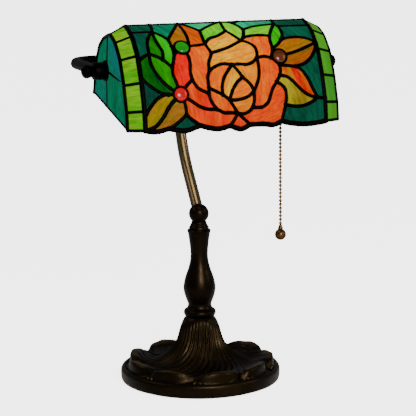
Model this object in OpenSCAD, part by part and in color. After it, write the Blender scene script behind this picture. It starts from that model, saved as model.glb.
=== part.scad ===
// Stained glass table lamp: a wide faceted glass shade hangs between the two arms of a
// yoke, on a bent tube that rises from a turned column and a cast, swirled base.
// Frame: +Z up, origin on the table under the middle of the base, front towards -Y.

/* [Base and column] */
// Radius of the cast base at its widest
base_r = 91; // [88:1:96]
// Height of the upright edge of the base
base_edge_h = 16; // [14:1:18]
// Radius of the ball on top of the column
ball_r = 11.3; // [11:0.1:12]

/* [Arm and yoke] */
// Outer diameter of the bent tube
arm_d = 12.7; // [12:0.1:13]
// Lean of the bent tube where it leaves the ball
arm_lean = 40; // [38:1:42]
// Diameter of the yoke rod
yoke_d = 12; // [11:0.5:12.5]
// Bend radius of the two yoke corners
yoke_bend = 30; // [26:1:34]

/* [Shade] */
// Half the width of the front panel, to the middle of its side seam
panel_half = 101.5; // [100:0.5:103]
// Half the width of the shade, to the outside of its end panels
shade_half = 119; // [118:0.5:120]
// How far the end panels stand inside the front panel's profile
bevel_in = 8; // [7:0.5:9]
// Thickness of the glass
glass_t = 3; // [2.5:0.1:3.2]
// Half the width of a seam between two panes
seam_half = 1.15; // [1:0.05:1.4]

/* [Switch chain] */
// Number of beads on the pull chain
beads = 38; // [30:1:38]
// Distance between two beads
bead_pitch = 4.3; // [4.1:0.05:4.35]
// Diameter of a bead
bead_d = 3.2; // [2.8:0.1:3.4]

/* [Hidden] */
$fn = 48;

bronze = [0.16, 0.10, 0.06];
blackened = [0.05, 0.05, 0.05];
brass = [0.62, 0.45, 0.22];
zinc = [0.6, 0.6, 0.62];
petal = [0.98, 0.45, 0.22];
heart = [0.99, 0.65, 0.25];
bright_leaf = [0.45, 0.90, 0.15];
green_leaf = [0.20, 0.60, 0.12];
autumn_leaf = [0.65, 0.52, 0.15];
teal = [0.03, 0.38, 0.28];
border_green = [0.45, 0.72, 0.25];

felt_t = 1.5;
pipe_r = 5;
pipe_fit = 0.15;
ring_z = 74;
vase_z = 84;
cap_z = 172;
ball_z = 193;
arm_rise = 43;
arm_bend = 138;
arm_r = arm_d / 2;
arm_end_z = 353;
arm_turn_y = arm_rise * tan(arm_lean);
yoke_y = arm_turn_y + arm_bend * (1 - cos(arm_lean));
arm_turn_z = ball_z + arm_rise;
arm_top_z = arm_turn_z + arm_bend * sin(arm_lean);
pivot_y = -45.6;
pivot_z = 364;
yoke_r = yoke_d / 2;
yoke_x = shade_half + 3 + yoke_r;
eye_r = 9.5;
eye_gap = 0.5;
bolt_r = 3;
nipple_r = 5;
plate_r = 11.5;
plate_t = 2.2;
came_out = 0.5;
came_in = 0.6;
socket_mouth_x = 45;
chain_x = 81;
chain_top_z = 340;
chain_ball_r = 6;

// ---------- Shade profile: a chain of flat facets, from the front hem over the top to the back hem ----------

profile = [[-127, 308.5], [-125, 328], [-116, 357.5], [-103, 385], [-84, 404], [-61, 414],
           [-33, 407], [-14, 396], [-1, 378], [13.5, 336]];
facets = len(profile) - 1;
front_facets = 5;
function facet_len(k) = norm(profile[k + 1] - profile[k]);
function facet_dir(k) = (profile[k + 1] - profile[k]) / facet_len(k);
function facet_start(k) = k == 0 ? 0 : facet_start(k - 1) + facet_len(k - 1);
function facet_tilt(k) = atan2(facet_dir(k)[1], facet_dir(k)[0]);
// Unit normal of a facet, towards the inside of the shade.
function facet_in(k) = [facet_dir(k)[1], -facet_dir(k)[0]];
// Corner k of the profile, moved towards the inside by s; the two hems stay level.
function inset_node(k, s) = k == 0 || k == facets
    ? let (d = facet_dir(min(k, facets - 1))) profile[k] + [d[1] + d[0] * d[0] / d[1], 0] * s
    : profile[k] + (facet_in(k - 1) + facet_in(k)) * s / (1 + facet_in(k - 1) * facet_in(k));
bevel_run = shade_half - panel_half;
bevel_w = norm([bevel_run, bevel_in]);
bevel_angle = atan2(bevel_in, bevel_run);
end_outline = [for (k = [0:facets]) inset_node(k, bevel_in)];
// A corner of the shade's wall, t inside its outer surface, on the panel's seam or the end panel's edge.
function wall_point(k, t, outer) =
    let (m = inset_node(k, outer ? bevel_in + t * tan((90 - bevel_angle) / 2) : t))
    [outer ? shade_half - t : panel_half - t * tan(bevel_angle / 2), m[0], m[1]];
// How far a border facet is cut short at its outer edge, at its start and at its end.
function start_cut(k) = (end_outline[k] - profile[k]) * facet_dir(k);
function end_cut(k) = (profile[k + 1] - end_outline[k + 1]) * facet_dir(k);

// ---------- The seams of the front panel: x across, v up along the profile ----------

JOINTS = [
    // hem
    ["b0", -101.5, 0], ["b1", -76, 1], ["b2", -41, 2.5], ["b3", -8, 0.5], ["b4", 14.5, 0.5], ["b5", 50.5, 2.5],
    ["b6", 101.5, 0],
    // left side, right side and top
    ["l1", -101.5, 14], ["l2", -101.5, 56], ["l3", -101.5, 74], ["l4", -101.5, 114.5], ["l5", -101.5, 133],
    ["r1", 101.5, 24], ["r2", 101.5, 88.5], ["r3", 101.5, 116.5], ["r4", 101.5, 133],
    ["t1", -75.5, 133], ["t2", -43.5, 133], ["t3", 4.5, 133], ["t4", 25, 133], ["t5", 64, 133],
    // jewels
    ["ruby", -60.5, 36.2], ["emerald", -51, 89], ["amber", 55.8, 72.9],
    // leaves on the left
    ["c1", -74, 36.5], ["c2", -56, 14.5], ["d1", -88.5, 82.5], ["e1", -77.5, 114.5], ["e2", -75, 75],
    ["e3", -63.5, 100.5], ["f1", -24.3, 92.5], ["f2", -42.2, 90.7], ["g1", -61.3, 81], ["g2", -61.8, 91],
    // leaves along the top
    ["g4", 3.7, 111], ["g5", -25, 113], ["g6", 24.5, 112.3], ["g7", 20.8, 99.3], ["q1", 17.5, 126.5],
    ["h1", 51, 100.5], ["h2", 63.2, 122], ["h3", 62.8, 94.3], ["h4", 66.2, 116.8],
    // leaves on the right
    ["a2", 50, 83], ["a3", 54.3, 62.8], ["k1", 48, 44.5], ["k2", 55.5, 19], ["k3", 52.8, 51.5],
    ["kt", 93, 25.8], ["lt", 72, 60.8],
    // rose
    ["m0", -66, 65.5], ["m1", -22.5, 18.2], ["m2", -29.5, 36], ["m3", -46, 51], ["m4", -28.5, 41.5],
    ["m5", -14, 33.7], ["m6", -7, 28], ["m7", -20, 80.8], ["m8", -25.5, 60.5], ["m9", 17, 95.3],
    ["n1", 1, 13], ["n2", 18.3, 18.3], ["n3", 21, 35.5], ["n4", 10.3, 51.5], ["n5", 0.8, 66], ["n6", 30, 72.5],
    ["n7", 46, 71.8]];

// Each seam runs from one joint to another, through the points between. A seam not listed is straight.
SEAMS = [
    ["b0", "b1", [[-89, -1.5]]],
    ["b1", "b2", [[-58, -2]]],
    ["b2", "b3", [[-31, -0.5], [-20, -2]]],
    ["b3", "b4", [[4, -3.5]]],
    ["b4", "b5", [[22, 0.5], [31, 0.3], [41, -1]]],
    ["b5", "b6", [[60, 0], [75, -2], [90, -1.5]]],
    ["l1", "c1", [[-96, 22.5], [-88, 31.5], [-80, 36]]],
    ["l2", "c1", [[-96, 49.5], [-88, 42.5], [-81, 38.5]]],
    ["l3", "d1", [[-95, 79.5]]],
    ["b0", "ruby", [[-91, 3.5], [-84, 10], [-78, 18], [-71, 27.5]]],
    ["ruby", "c2", [[-57, 26]]],
    ["c2", "b1", [[-64, 8], [-70, 4]]],
    ["c2", "b2", [[-50.5, 9]]],
    ["d1", "ruby", [[-89, 73], [-86, 63], [-80, 52.5], [-71, 43]]],
    ["d1", "e2", [[-82, 79.3]]],
    ["e2", "m0", [[-70, 70]]],
    ["m0", "ruby", [[-66.3, 58], [-64, 49.5]]],
    ["d1", "e1", [[-88.3, 90], [-87, 98], [-83, 107]]],
    ["e1", "e2", [[-78, 104], [-76, 94], [-73.7, 86], [-74, 79.5]]],
    ["e1", "e3", [[-70.5, 108]]],
    ["g1", "m0", [[-63.5, 73]]],
    ["e1", "t1", [[-75.3, 124]]],
    ["e3", "t2", [[-58, 109], [-52, 118.5], [-46.5, 127.5]]],
    ["f2", "t2", [[-41.8, 103], [-42.6, 117]]],
    ["t2", "g5", [[-35.5, 125], [-29, 118]]],
    ["f2", "f1", [[-33, 91.2]]],
    ["emerald", "m3", [[-46.6, 79], [-45.6, 70], [-46.8, 60]]],
    ["m3", "ruby", [[-50, 47.8], [-55, 43]]],
    ["f1", "m7", [[-22.3, 86.5]]],
    ["m7", "m8", [[-21.8, 76], [-25, 69]]],
    ["m8", "m4", [[-28.3, 54], [-28.8, 47]]],
    ["m2", "m3", [[-36, 39], [-41.5, 43]]],
    ["m2", "m1", [[-28.5, 30], [-26, 24]]],
    ["m1", "ruby", [[-33, 18.7], [-41, 22], [-48, 27.5]]],
    ["m1", "n1", [[-18.5, 16.5], [-14, 14.3], [-7, 14]]],
    ["n1", "b3", [[-3, 7]]],
    ["n1", "b4", [[8, 6.5]]],
    ["n1", "n2", [[8, 12.3], [13.5, 14.5]]],
    ["n2", "k1", [[25, 17.7], [31, 18.7], [36, 23], [39.5, 30.5], [43, 38]]],
    ["k1", "k2", [[53, 41.5], [57, 36], [57.3, 28]]],
    ["k2", "b5", [[52.5, 9.5]]],
    ["n1", "m6", [[-1.5, 17], [-4.5, 22.5]]],
    ["m6", "n3", [[0, 27.3], [8, 28.5], [15, 31]]],
    ["n3", "n2", [[20.7, 27]]],
    ["m4", "m5", [[-21.5, 37.8]]],
    ["m8", "n5", [[-19, 64.5], [-10, 67.3]]],
    ["n5", "m5", [[-5, 59.5], [-11, 51], [-13.8, 42]]],
    ["n5", "n4", [[6, 59]]],
    ["n4", "m6", [[3.5, 46.3], [-2, 39], [-5.3, 32]]],
    ["n4", "n3", [[15.5, 46.5], [19.5, 41]]],
    ["n5", "n6", [[9, 66.3], [17, 65.5], [24, 67.7]]],
    ["n6", "n3", [[30.3, 62], [28.5, 50.5], [24.5, 41.5]]],
    ["m7", "m9", [[-10, 83.3], [0, 86.6], [8, 90.5]]],
    ["m9", "n6", [[24.5, 92], [30, 86], [31, 79]]],
    ["f1", "g4", [[-18, 99.5], [-8, 103], [-1, 107.3]]],
    ["g4", "m9", [[9.5, 104]]],
    ["f1", "g5", [[-25, 102]]],
    ["g5", "t3", [[-15, 120.5], [-5, 127]]],
    ["t3", "g4", [[3.7, 121]]],
    ["t3", "q1", [[12, 130.5]]],
    ["q1", "g6", [[22, 119.5]]],
    ["g6", "g7", [[22.7, 105]]],
    ["g6", "h2", [[34, 117], [45, 119.8], [55, 121]]],
    ["h2", "h1", [[56.5, 111]]],
    ["g7", "h1", [[30, 101.5], [41, 101.8]]],
    ["h1", "a2", [[49.8, 92]]],
    ["a2", "n7", [[48, 77]]],
    ["n7", "n6", [[38, 73.7]]],
    ["h4", "h3", [[66.6, 106], [65.5, 99]]],
    ["h3", "a2", [[57.5, 88.3]]],
    ["h3", "r2", [[70, 96.5], [83, 97], [94, 94]]],
    ["r2", "amber", [[88, 82.8], [75, 77.8], [66, 75.5]]],
    ["r2", "lt", [[97, 77.5], [90.5, 69], [82, 63.3]]],
    ["lt", "a3", [[62, 62.3]]],
    ["n7", "a3", [[50.8, 68]]],
    ["a3", "k3", [[54.3, 57]]],
    ["lt", "kt", [[78.5, 56.5], [84.5, 46.5], [88.5, 36]]],
    ["kt", "k3", [[86, 27.5], [79, 31.5], [72, 38.5], [65.5, 46], [59.5, 50.3]]],
    ["kt", "k2", [[85, 20], [75, 17.2], [65, 17.3]]]];

// Each pane names its node and the joints round it.
PANES = [
    ["autumn", ["b0", "l1", "c1", "ruby"]], ["autumn", ["b0", "ruby", "c2", "b1"]],
    ["autumn", ["e3", "t2", "f2", "emerald", "g2"]], ["autumn", ["f2", "t2", "g5", "f1"]],
    ["autumn", ["a2", "h3", "r2", "amber"]], ["autumn", ["amber", "r2", "lt", "a3"]],
    ["autumn", ["a3", "lt", "kt", "k3"]], ["autumn", ["k3", "kt", "k2", "k1"]],
    ["green", ["c1", "l2", "l3", "d1", "ruby"]], ["green", ["d1", "e2", "m0", "ruby"]],
    ["green", ["d1", "e1", "e2"]], ["green", ["e1", "e3", "g2", "g1", "m0", "e2"]],
    ["bright", ["f1", "g5", "t3", "g4"]], ["bright", ["g4", "t3", "q1", "g6", "g7", "m9"]],
    ["bright", ["g7", "g6", "h2", "h1"]], ["bright", ["h1", "h2", "h4", "h3", "a2"]],
    ["petal", ["ruby", "m0", "g1", "emerald", "m3"]], ["petal", ["ruby", "m3", "m2", "m1"]],
    ["petal", ["b2", "c2", "ruby", "m1", "n1", "b3"]], ["petal", ["b3", "n1", "b4"]],
    ["petal", ["n1", "n2", "k1", "k2", "b5", "b4"]],
    ["petal", ["m3", "emerald", "f2", "f1", "m7", "m8", "m4", "m2"]],
    ["petal", ["m7", "f1", "g4", "m9"]], ["petal", ["m9", "g7", "h1", "a2", "n7", "n6"]],
    ["petal", ["n2", "n3", "n6", "n7", "a3", "k3", "k1"]],
    ["heart", ["m8", "m7", "m9", "n6", "n5"]], ["heart", ["m4", "m8", "n5", "m5"]],
    ["heart", ["m2", "m4", "m5", "m6", "n1", "m1"]], ["heart", ["m5", "n5", "n4", "m6"]],
    ["heart", ["m6", "n4", "n3"]], ["heart", ["n5", "n6", "n3", "n4"]], ["heart", ["n1", "m6", "n3", "n2"]],
    ["teal", ["l1", "l2", "c1"]], ["teal", ["b1", "c2", "b2"]], ["teal", ["l3", "l4", "e1", "d1"]],
    ["teal", ["l4", "l5", "t1", "e1"]], ["teal", ["e1", "t1", "t2", "e3"]], ["teal", ["t2", "t3", "g5"]],
    ["teal", ["t3", "t4", "q1"]], ["teal", ["q1", "t4", "t5", "h2", "g6"]], ["teal", ["h2", "t5", "r4", "r3", "h4"]],
    ["teal", ["h4", "r3", "r2", "h3"]], ["teal", ["lt", "r2", "r1", "kt"]], ["teal", ["k2", "kt", "r1", "b6", "b5"]]];

JEWELS = [["ruby", 7.2], ["emerald", 7.5], ["amber", 7.2]];
jewel_ring = 1.2;
curve_steps = 2;

function joint(n) = let (j = JOINTS[search([n], JOINTS)[0]]) [j[1], j[2]];
function backwards(p) = [for (i = [len(p) - 1:-1:0]) p[i]];
function between(a, b) = let (there = [for (s = SEAMS) if (s[0] == a && s[1] == b) s[2]],
                              back = [for (s = SEAMS) if (s[0] == b && s[1] == a) backwards(s[2])])
    len(there) > 0 ? there[0] : len(back) > 0 ? back[0] : [];
// A smooth curve through points, without its last one.
function through(p) = let (n = len(p) - 1, q = concat([2 * p[0] - p[1]], p, [2 * p[n] - p[n - 1]]))
    n == 1 ? [p[0]] : [for (i = [0:n - 1]) for (s = [0:curve_steps - 1]) let (t = s / curve_steps)
        0.5 * (2 * q[i + 1] + t * (q[i + 2] - q[i]) + t * t * (2 * q[i] - 5 * q[i + 1] + 4 * q[i + 2] - q[i + 3])
               + t * t * t * (3 * q[i + 1] - q[i] - 3 * q[i + 2] + q[i + 3]))];
function ring(names) = [for (i = [0:len(names) - 1])
    let (a = names[i], b = names[(i + 1) % len(names)]) each through(concat([joint(a)], between(a, b), [joint(b)]))];
function sum(v, i = 0) = i < len(v) ? v[i] + sum(v, i + 1) : 0;
function area(p) = sum([for (i = [0:len(p) - 1]) let (q = p[(i + 1) % len(p)]) p[i][0] * q[1] - q[0] * p[i][1]]) / 2;
function unit(v) = v / norm(v);
function left_of(a, b) = let (d = unit(b - a)) [-d[1], d[0]];
function off_edge(p, a, b) = let (d = b - a, t = max(0, min(1, ((p - a) * d) / (d * d)))) norm(p - a - t * d);
// An outline moved inwards by d, leaving out the points that would fold over at a sharp tip.
function inset(outline, d) =
    let (p = area(outline) > 0 ? outline : backwards(outline), n = len(p),
         moved = [for (i = [0:n - 1]) let (a = p[(i + n - 1) % n], b = p[i], c = p[(i + 1) % n],
                  u = left_of(a, b), w = left_of(b, c)) b + d * (u + w) / max(0.06, 1 + u * w)])
    [for (m = moved) if (min([for (i = [0:n - 1]) off_edge(m, p[i], p[(i + 1) % n])]) > 0.97 * d) m];
pane_outlines = [for (p = PANES) inset(ring(p[1]), seam_half)];
function low_v(p) = min([for (q = p) q[1]]);
function high_v(p) = max([for (q = p) q[1]]);

// ---------- Frames that carry flat work onto the shade ----------

// Local X runs across, Y up the facet, Z out of the shade.
module on_facet(k) {
    translate([0, profile[k][0], profile[k][1]])
        rotate([facet_tilt(k), 0, 0])
            children();
}

// Local X runs from the panel's side seam out to the end panel, Y up the facet, Z out of the shade.
module on_border(k, side) {
    d = facet_dir(k);
    n = facet_in(k);
    across = [bevel_run, n[0] * bevel_in, n[1] * bevel_in] / bevel_w;
    out = cross(across, [0, d[0], d[1]]);
    mirror([side < 0 ? 1 : 0, 0, 0])
        multmatrix([[across[0], 0, out[0], panel_half],
                    [across[1], d[0], out[1], profile[k][0]],
                    [across[2], d[1], out[2], profile[k][1]]])
            children();
}

// Carries a drawing in the Y-Z plane onto the inner face of an end panel; local Z runs outwards.
module on_end(side) {
    mirror([side < 0 ? 1 : 0, 0, 0])
        translate([shade_half - glass_t, 0, 0])
            rotate([90, 0, 90])
                children();
}

module along_x(from, to, r) {
    translate([min(from, to), 0, 0]) rotate([0, 90, 0]) cylinder(r = r, h = abs(to - from));
}

module at_pivot() {
    translate([0, pivot_y, pivot_z]) children();
}

// ---------- The wall's space, cut where its facets meet, so that neighbours only touch ----------

came_low = -glass_t - came_in;
came_t = glass_t + came_in + came_out;

// Four corners of one face, clockwise from outside, and the four corners opposite them.
module block(p) {
    polyhedron(points = p, faces = [[0, 1, 2, 3], [7, 6, 5, 4], [0, 4, 5, 1], [1, 5, 6, 2], [2, 6, 7, 3], [3, 7, 4, 0]]);
}

function along(k, s) = s * [0, facet_dir(k)[0], facet_dir(k)[1]];
gap = 0.01;
module facet_block(k) {
    block([for (t = [-came_out, -came_low])
        each [for (c = [[-1, 0], [-1, 1], [1, 1], [1, 0]])
            let (q = wall_point(k + c[1], t, false))
            [c[0] * (q[0] - gap), q[1], q[2]] + along(k, c[1] == 1 ? -gap : k == 0 ? -20 : gap)]]);
}

module border_block(k, side) {
    mirror([side < 0 ? 1 : 0, 0, 0])
        block([for (t = [-came_out, -came_low])
            each [for (c = [[false, 0], [false, 1], [true, 1], [true, 0]])
                wall_point(k + c[1], t, c[0]) + along(k, c[1] == 1 ? -gap : gap)]]);
}

module end_block(side) {
    n = facets + 1;
    points = [for (t = [-came_out, -came_low]) each [for (k = [0:facets]) wall_point(k, t, true) + [0, 0, 0]]];
    mirror([side < 0 ? 1 : 0, 0, 0])
        polyhedron(points = points,
                   faces = concat([[for (i = [0:facets]) i]], [[for (i = [facets:-1:0]) i + n]],
                                  [for (i = [0:facets - 1]) [i, i + n, i + 1 + n, i + 1]],
                                  [[facets, facets + n, n], [facets, n, 0]]));
}

// ---------- Glass ----------

// The part of one pane near facet k, drawn in that facet's plane.
module pane_sheet(i, k) {
    intersection() {
        translate([-120, -10]) square([240, facet_len(k) + 11]);
        translate([0, -facet_start(k)]) polygon(pane_outlines[i]);
    }
}

function crosses(i, k) = low_v(pane_outlines[i]) < facet_start(k) + facet_len(k)
    && high_v(pane_outlines[i]) > facet_start(k);

function has_jewel(i) = len([for (n = PANES[i][1]) if (n == "ruby" || n == "emerald" || n == "amber") n]) > 0;

function jewel_facet(name) = [for (i = [0:front_facets - 1])
    if (joint(name)[1] >= facet_start(i) && joint(name)[1] < facet_start(i) + facet_len(i)) i][0];

module jewel_axis(name) {
    c = joint(name);
    k = jewel_facet(name);
    on_facet(k) translate([c[0], c[1] - facet_start(k), 0]) children();
}

// The round seats of the jewels, drawn in the plane of facet k.
module jewel_seats(k, extra) {
    for (j = JEWELS)
        translate([joint(j[0])[0], joint(j[0])[1] - facet_start(k)]) circle(r = j[1] + extra);
}

module panes_named(name) {
    for (i = [0:len(PANES) - 1])
        if (PANES[i][0] == name)
            for (k = [0:front_facets - 1])
                if (crosses(i, k))
                    intersection() {
                        facet_block(k);
                        on_facet(k)
                            translate([0, 0, -glass_t])
                                linear_extrude(glass_t)
                                    if (has_jewel(i))
                                        difference() {
                                            pane_sheet(i, k);
                                            jewel_seats(k, jewel_ring);
                                        }
                                    else
                                        pane_sheet(i, k);
                    }
}

module jewel(name, r) {
    edge = 2.6;
    dome = 2.4;
    ball = (r * r + dome * dome) / (2 * dome);
    jewel_axis(name)
        translate([0, 0, -glass_t])
            union() {
                cylinder(r = r, h = edge + 0.4);
                intersection() {
                    translate([0, 0, edge + 0.4 + dome - ball]) sphere(r = ball, $fn = 96);
                    translate([0, 0, edge]) cylinder(r = r - 0.01, h = dome + 2);
                }
            }
}

// Back panes: the seams that meet the top run straight down the back.
back_lines = [-101.5, -75.5, -43.5, 4.5, 25, 64, 101.5];
module back_sheet(k) {
    for (c = [0:len(back_lines) - 2])
        translate([back_lines[c] + seam_half, seam_half])
            square([back_lines[c + 1] - back_lines[c] - 2 * seam_half, facet_len(k) - 2 * seam_half]);
}

module back_panes() {
    color(teal)
        for (k = [front_facets:facets - 1])
            on_facet(k) translate([0, 0, -glass_t]) linear_extrude(glass_t) back_sheet(k);
}

// A border pane is a trapezium, because the bevel narrows it.
border_seam = 1.7;
end_seam = 2.6;
module border_sheet(k) {
    w = bevel_w - 1;
    lift = start_cut(k) * w / bevel_w;
    drop = end_cut(k) * w / bevel_w;
    polygon(inset([[0, 0], [w, lift], [w, facet_len(k) - drop], [0, facet_len(k)]], border_seam));
}

module border_panes(side) {
    color(border_green)
        for (k = [0:facets - 1])
            on_border(k, side) translate([0, 0, -glass_t]) linear_extrude(glass_t) border_sheet(k);
}

// The end panel's seams run from the pivot to the top, the back, the hem and the lower front.
pivot = [pivot_y, pivot_z];
end_top = end_outline[5] + [8.4, -2.2];
end_back = end_outline[8] + 0.3 * (end_outline[9] - end_outline[8]);
end_low = end_outline[0] + 0.6 * (end_outline[9] - end_outline[0]);
end_front = end_outline[2];
END_PANES = [
    [pivot, end_top, end_outline[5], end_outline[4], end_outline[3], end_front],
    [pivot, end_front, end_outline[1], end_outline[0], end_low],
    [pivot, end_low, end_outline[9], end_back],
    [pivot, end_back, end_outline[8], end_outline[7], end_outline[6], end_top]];

module end_sheet() {
    difference() {
        for (p = END_PANES)
            intersection() {
                polygon(inset(p, seam_half));
                polygon(inset(end_outline, end_seam));
            }
        translate(pivot) circle(r = plate_r - 3);
    }
}

module end_panes(side) {
    color(teal)
        on_end(side) linear_extrude(glass_t) end_sheet();
}

// ---------- Lead came: the seams between the panes, soldered into one framework ----------

hem = concat(through(concat([joint("b0")], between("b0", "b1"), [joint("b1")])),
             through(concat([joint("b1")], between("b1", "b2"), [joint("b2")])),
             through(concat([joint("b2")], between("b2", "b3"), [joint("b3")])),
             through(concat([joint("b3")], between("b3", "b4"), [joint("b4")])),
             through(concat([joint("b4")], between("b4", "b5"), [joint("b5")])),
             through(concat([joint("b5")], between("b5", "b6"), [joint("b6")])), [joint("b6")]);
hem_drop = 1.3;

module front_sheet(k) {
    difference() {
        polygon(concat(k == 0 ? [for (p = hem) p - [0, hem_drop]] : [[-panel_half, -1], [panel_half, -1]],
                       [[panel_half, facet_len(k) + 1], [-panel_half, facet_len(k) + 1]]));
        for (i = [0:len(PANES) - 1])
            if (crosses(i, k))
                if (has_jewel(i))
                    difference() {
                        pane_sheet(i, k);
                        jewel_seats(k, jewel_ring);
                    }
                else
                    pane_sheet(i, k);
        jewel_seats(k, 0);
    }
}

module front_came() {
    color(blackened)
        for (k = [0:front_facets - 1])
            intersection() {
                facet_block(k);
                on_facet(k) translate([0, 0, came_low]) linear_extrude(came_t) front_sheet(k);
            }
}

module back_came() {
    color(blackened)
        for (k = [front_facets:facets - 1])
            difference() {
                facet_block(k);
                on_facet(k) translate([0, 0, came_low - 1]) linear_extrude(came_t + 2) back_sheet(k);
            }
}

module border_came(side) {
    color(blackened)
        for (k = [0:facets - 1])
            difference() {
                border_block(k, side);
                on_border(k, side) translate([0, 0, came_low - 1]) linear_extrude(came_t + 2) border_sheet(k);
            }
}

module end_came(side) {
    color(blackened)
        difference() {
            end_block(side);
            on_end(side)
                translate([0, 0, -came_in - 1])
                    linear_extrude(came_t + 2) {
                        end_sheet();
                        translate(pivot) circle(r = nipple_r + 0.6);
                    }
        }
}

// ---------- Base ----------

// Upper surface of the base, from the rim to the top of its cone: radius and height.
dish = [[84, 16.5], [80.5, 17], [78, 21], [74, 23.5], [69, 24.5], [62, 23], [54, 23.5], [46, 27], [38, 32.5],
        [31, 40], [25.5, 49], [23.5, 55], [21.8, 62], [19.5, 69], [16.5, ring_z]];
module base_casting() {
    color(bronze)
        difference() {
            rotate_extrude($fn = 96)
                polygon(concat([[pipe_r + pipe_fit, ring_z], [pipe_r + pipe_fit, 50], [12, 50], [22, 42],
                                [36, 28], [50, 18], [72, 13], [base_r - 10, 9], [base_r - 10, felt_t],
                                [base_r - 4, felt_t], [base_r - 1, 2.6], [base_r, 3.8], [base_r, 13.2],
                                [base_r - 3, base_edge_h]], dish));
            translate([0, base_r - 20, outlet_z]) rotate([-90, 0, 0]) cylinder(r = outlet_r, h = 40);
        }
}

module felt_pad() {
    color([0.05, 0.05, 0.05]) cylinder(r = base_r - 7, h = felt_t, $fn = 96);
}

module base_weight() {
    color([0.2, 0.2, 0.22])
        difference() {
            translate([0, 0, felt_t + 0.5]) cylinder(r = 74, h = 8);
            translate([0, 0, -1]) cylinder(r = 24, h = 30);
        }
}

base_seat_z = 50;
module base_washer() {
    color(zinc)
        translate([0, 0, base_seat_z - 2])
            difference() {
                cylinder(r = 9, h = 1.9);
                translate([0, 0, -1]) cylinder(r = pipe_r + pipe_fit, h = 4);
            }
}

module base_nut() {
    color(brass)
        translate([0, 0, base_seat_z - 8.1])
            difference() {
                cylinder(r = 8.5, h = 6, $fn = 6);
                translate([0, 0, -1]) cylinder(r = pipe_r + 0.02, h = 8);
            }
}

outlet_z = 8.5;
outlet_r = 4.5;
bushing_bore = 3.2;
bushing_len = 12;
module cord_bushing() {
    color([0.04, 0.04, 0.04])
        translate([0, base_r - 10.5, outlet_z])
            rotate([-90, 0, 0])
                difference() {
                    union() {
                        cylinder(r = outlet_r - 0.05, h = bushing_len - 1);
                        translate([0, 0, 10.6]) cylinder(r = 5.6, h = bushing_len - 10.6);
                    }
                    translate([0, 0, -1]) cylinder(r = bushing_bore, h = bushing_len + 2);
                }
}

// ---------- Column, all threaded on one hollow pipe ----------

module lamp_pipe() {
    color(brass)
        translate([0, 0, 38])
            difference() {
                cylinder(r = pipe_r, h = 148);
                translate([0, 0, -1]) cylinder(r = 3.6, h = 150);
            }
}

module turned(outline, bore) {
    rotate_extrude($fn = 96)
        polygon(concat([[bore, outline[0][1]]], outline, [[bore, outline[len(outline) - 1][1]]]));
}

module column_ring() {
    color(bronze)
        turned([[16, ring_z], [17.2, 75.6], [18.3, 78.4], [18.3, 79.8], [16.8, 82.4], [14.6, vase_z]],
               pipe_r + pipe_fit);
}

module column_vase() {
    color(bronze)
        turned([[14.2, vase_z], [14, 87], [14.8, 91], [16.6, 96], [18.2, 102], [18.6, 107], [18.2, 112],
                [17, 118], [15, 124.5], [12.8, 131], [11.2, 137], [10.3, 143], [10.1, 148], [10.6, 154],
                [11.6, 161], [12.5, 167], [13, cap_z]], pipe_r + pipe_fit);
}

module column_cap() {
    color(bronze)
        turned([[13.1, cap_z], [13.4, 173.4], [12.6, 175], [11.4, 176], [11.2, 178], [10.2, 179],
                [9.6, 181], [8.6, 183]], pipe_r + pipe_fit);
}

module arm_axis() {
    translate([0, 0, ball_z]) rotate([-arm_lean, 0, 0]) children();
}

module column_ball() {
    color(bronze)
        difference() {
            union() {
                translate([0, 0, ball_z]) sphere(r = ball_r, $fn = 96);
                translate([0, 0, 183]) cylinder(r = 8.4, h = 3);
            }
            translate([0, 0, 170]) cylinder(r = 20, h = 13);
            translate([0, 0, 180]) cylinder(r = pipe_r + pipe_fit, h = 9);
            arm_axis() translate([0, 0, 2]) cylinder(r = arm_r + 0.05, h = 20);
        }
}

// ---------- Bent arm and yoke ----------

module arm_solid(r) {
    straight = arm_rise / cos(arm_lean);
    arm_axis() translate([0, 0, 2.5]) cylinder(r = r, h = straight - 2.5);
    translate([0, arm_turn_y - arm_bend * cos(arm_lean), arm_turn_z + arm_bend * sin(arm_lean)])
        rotate([90, 0, 90])
            rotate([0, 0, -arm_lean])
                rotate_extrude(angle = arm_lean, $fn = 96)
                    translate([arm_bend, 0]) circle(r = r);
    translate([0, yoke_y, arm_top_z]) cylinder(r = r, h = arm_end_z - arm_top_z);
}

module bent_arm() {
    color(bronze)
        difference() {
            arm_solid(arm_r);
            arm_solid(arm_r - 1.2);
            translate([0, yoke_y, arm_end_z - 5]) cylinder(r = arm_r - 1.2, h = 10);
            arm_axis() cylinder(r = arm_r - 1.2, h = 10);
        }
}

module arm_collar() {
    color(bronze)
        translate([0, yoke_y, 340])
            difference() {
                union() {
                    cylinder(r = arm_r + 2, h = 8);
                    translate([0, 0, 2]) cylinder(r = arm_r + 3, h = 4);
                }
                translate([0, 0, -1]) cylinder(r = arm_r + 0.02, h = 12);
            }
}

hub_r = 10;
module yoke_hub() {
    color(bronze)
        difference() {
            union() {
                translate([-14, yoke_y, pivot_z]) rotate([0, 90, 0]) cylinder(r = hub_r, h = 28);
                translate([0, yoke_y, 348.2]) cylinder(r = 8.4, h = pivot_z - 348.2);
            }
            translate([-20, yoke_y, pivot_z]) rotate([0, 90, 0]) cylinder(r = yoke_r + 0.05, h = 40);
            translate([0, yoke_y, 340]) cylinder(r = arm_r + 0.02, h = arm_end_z - 340 + 0.5);
        }
}

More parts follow.
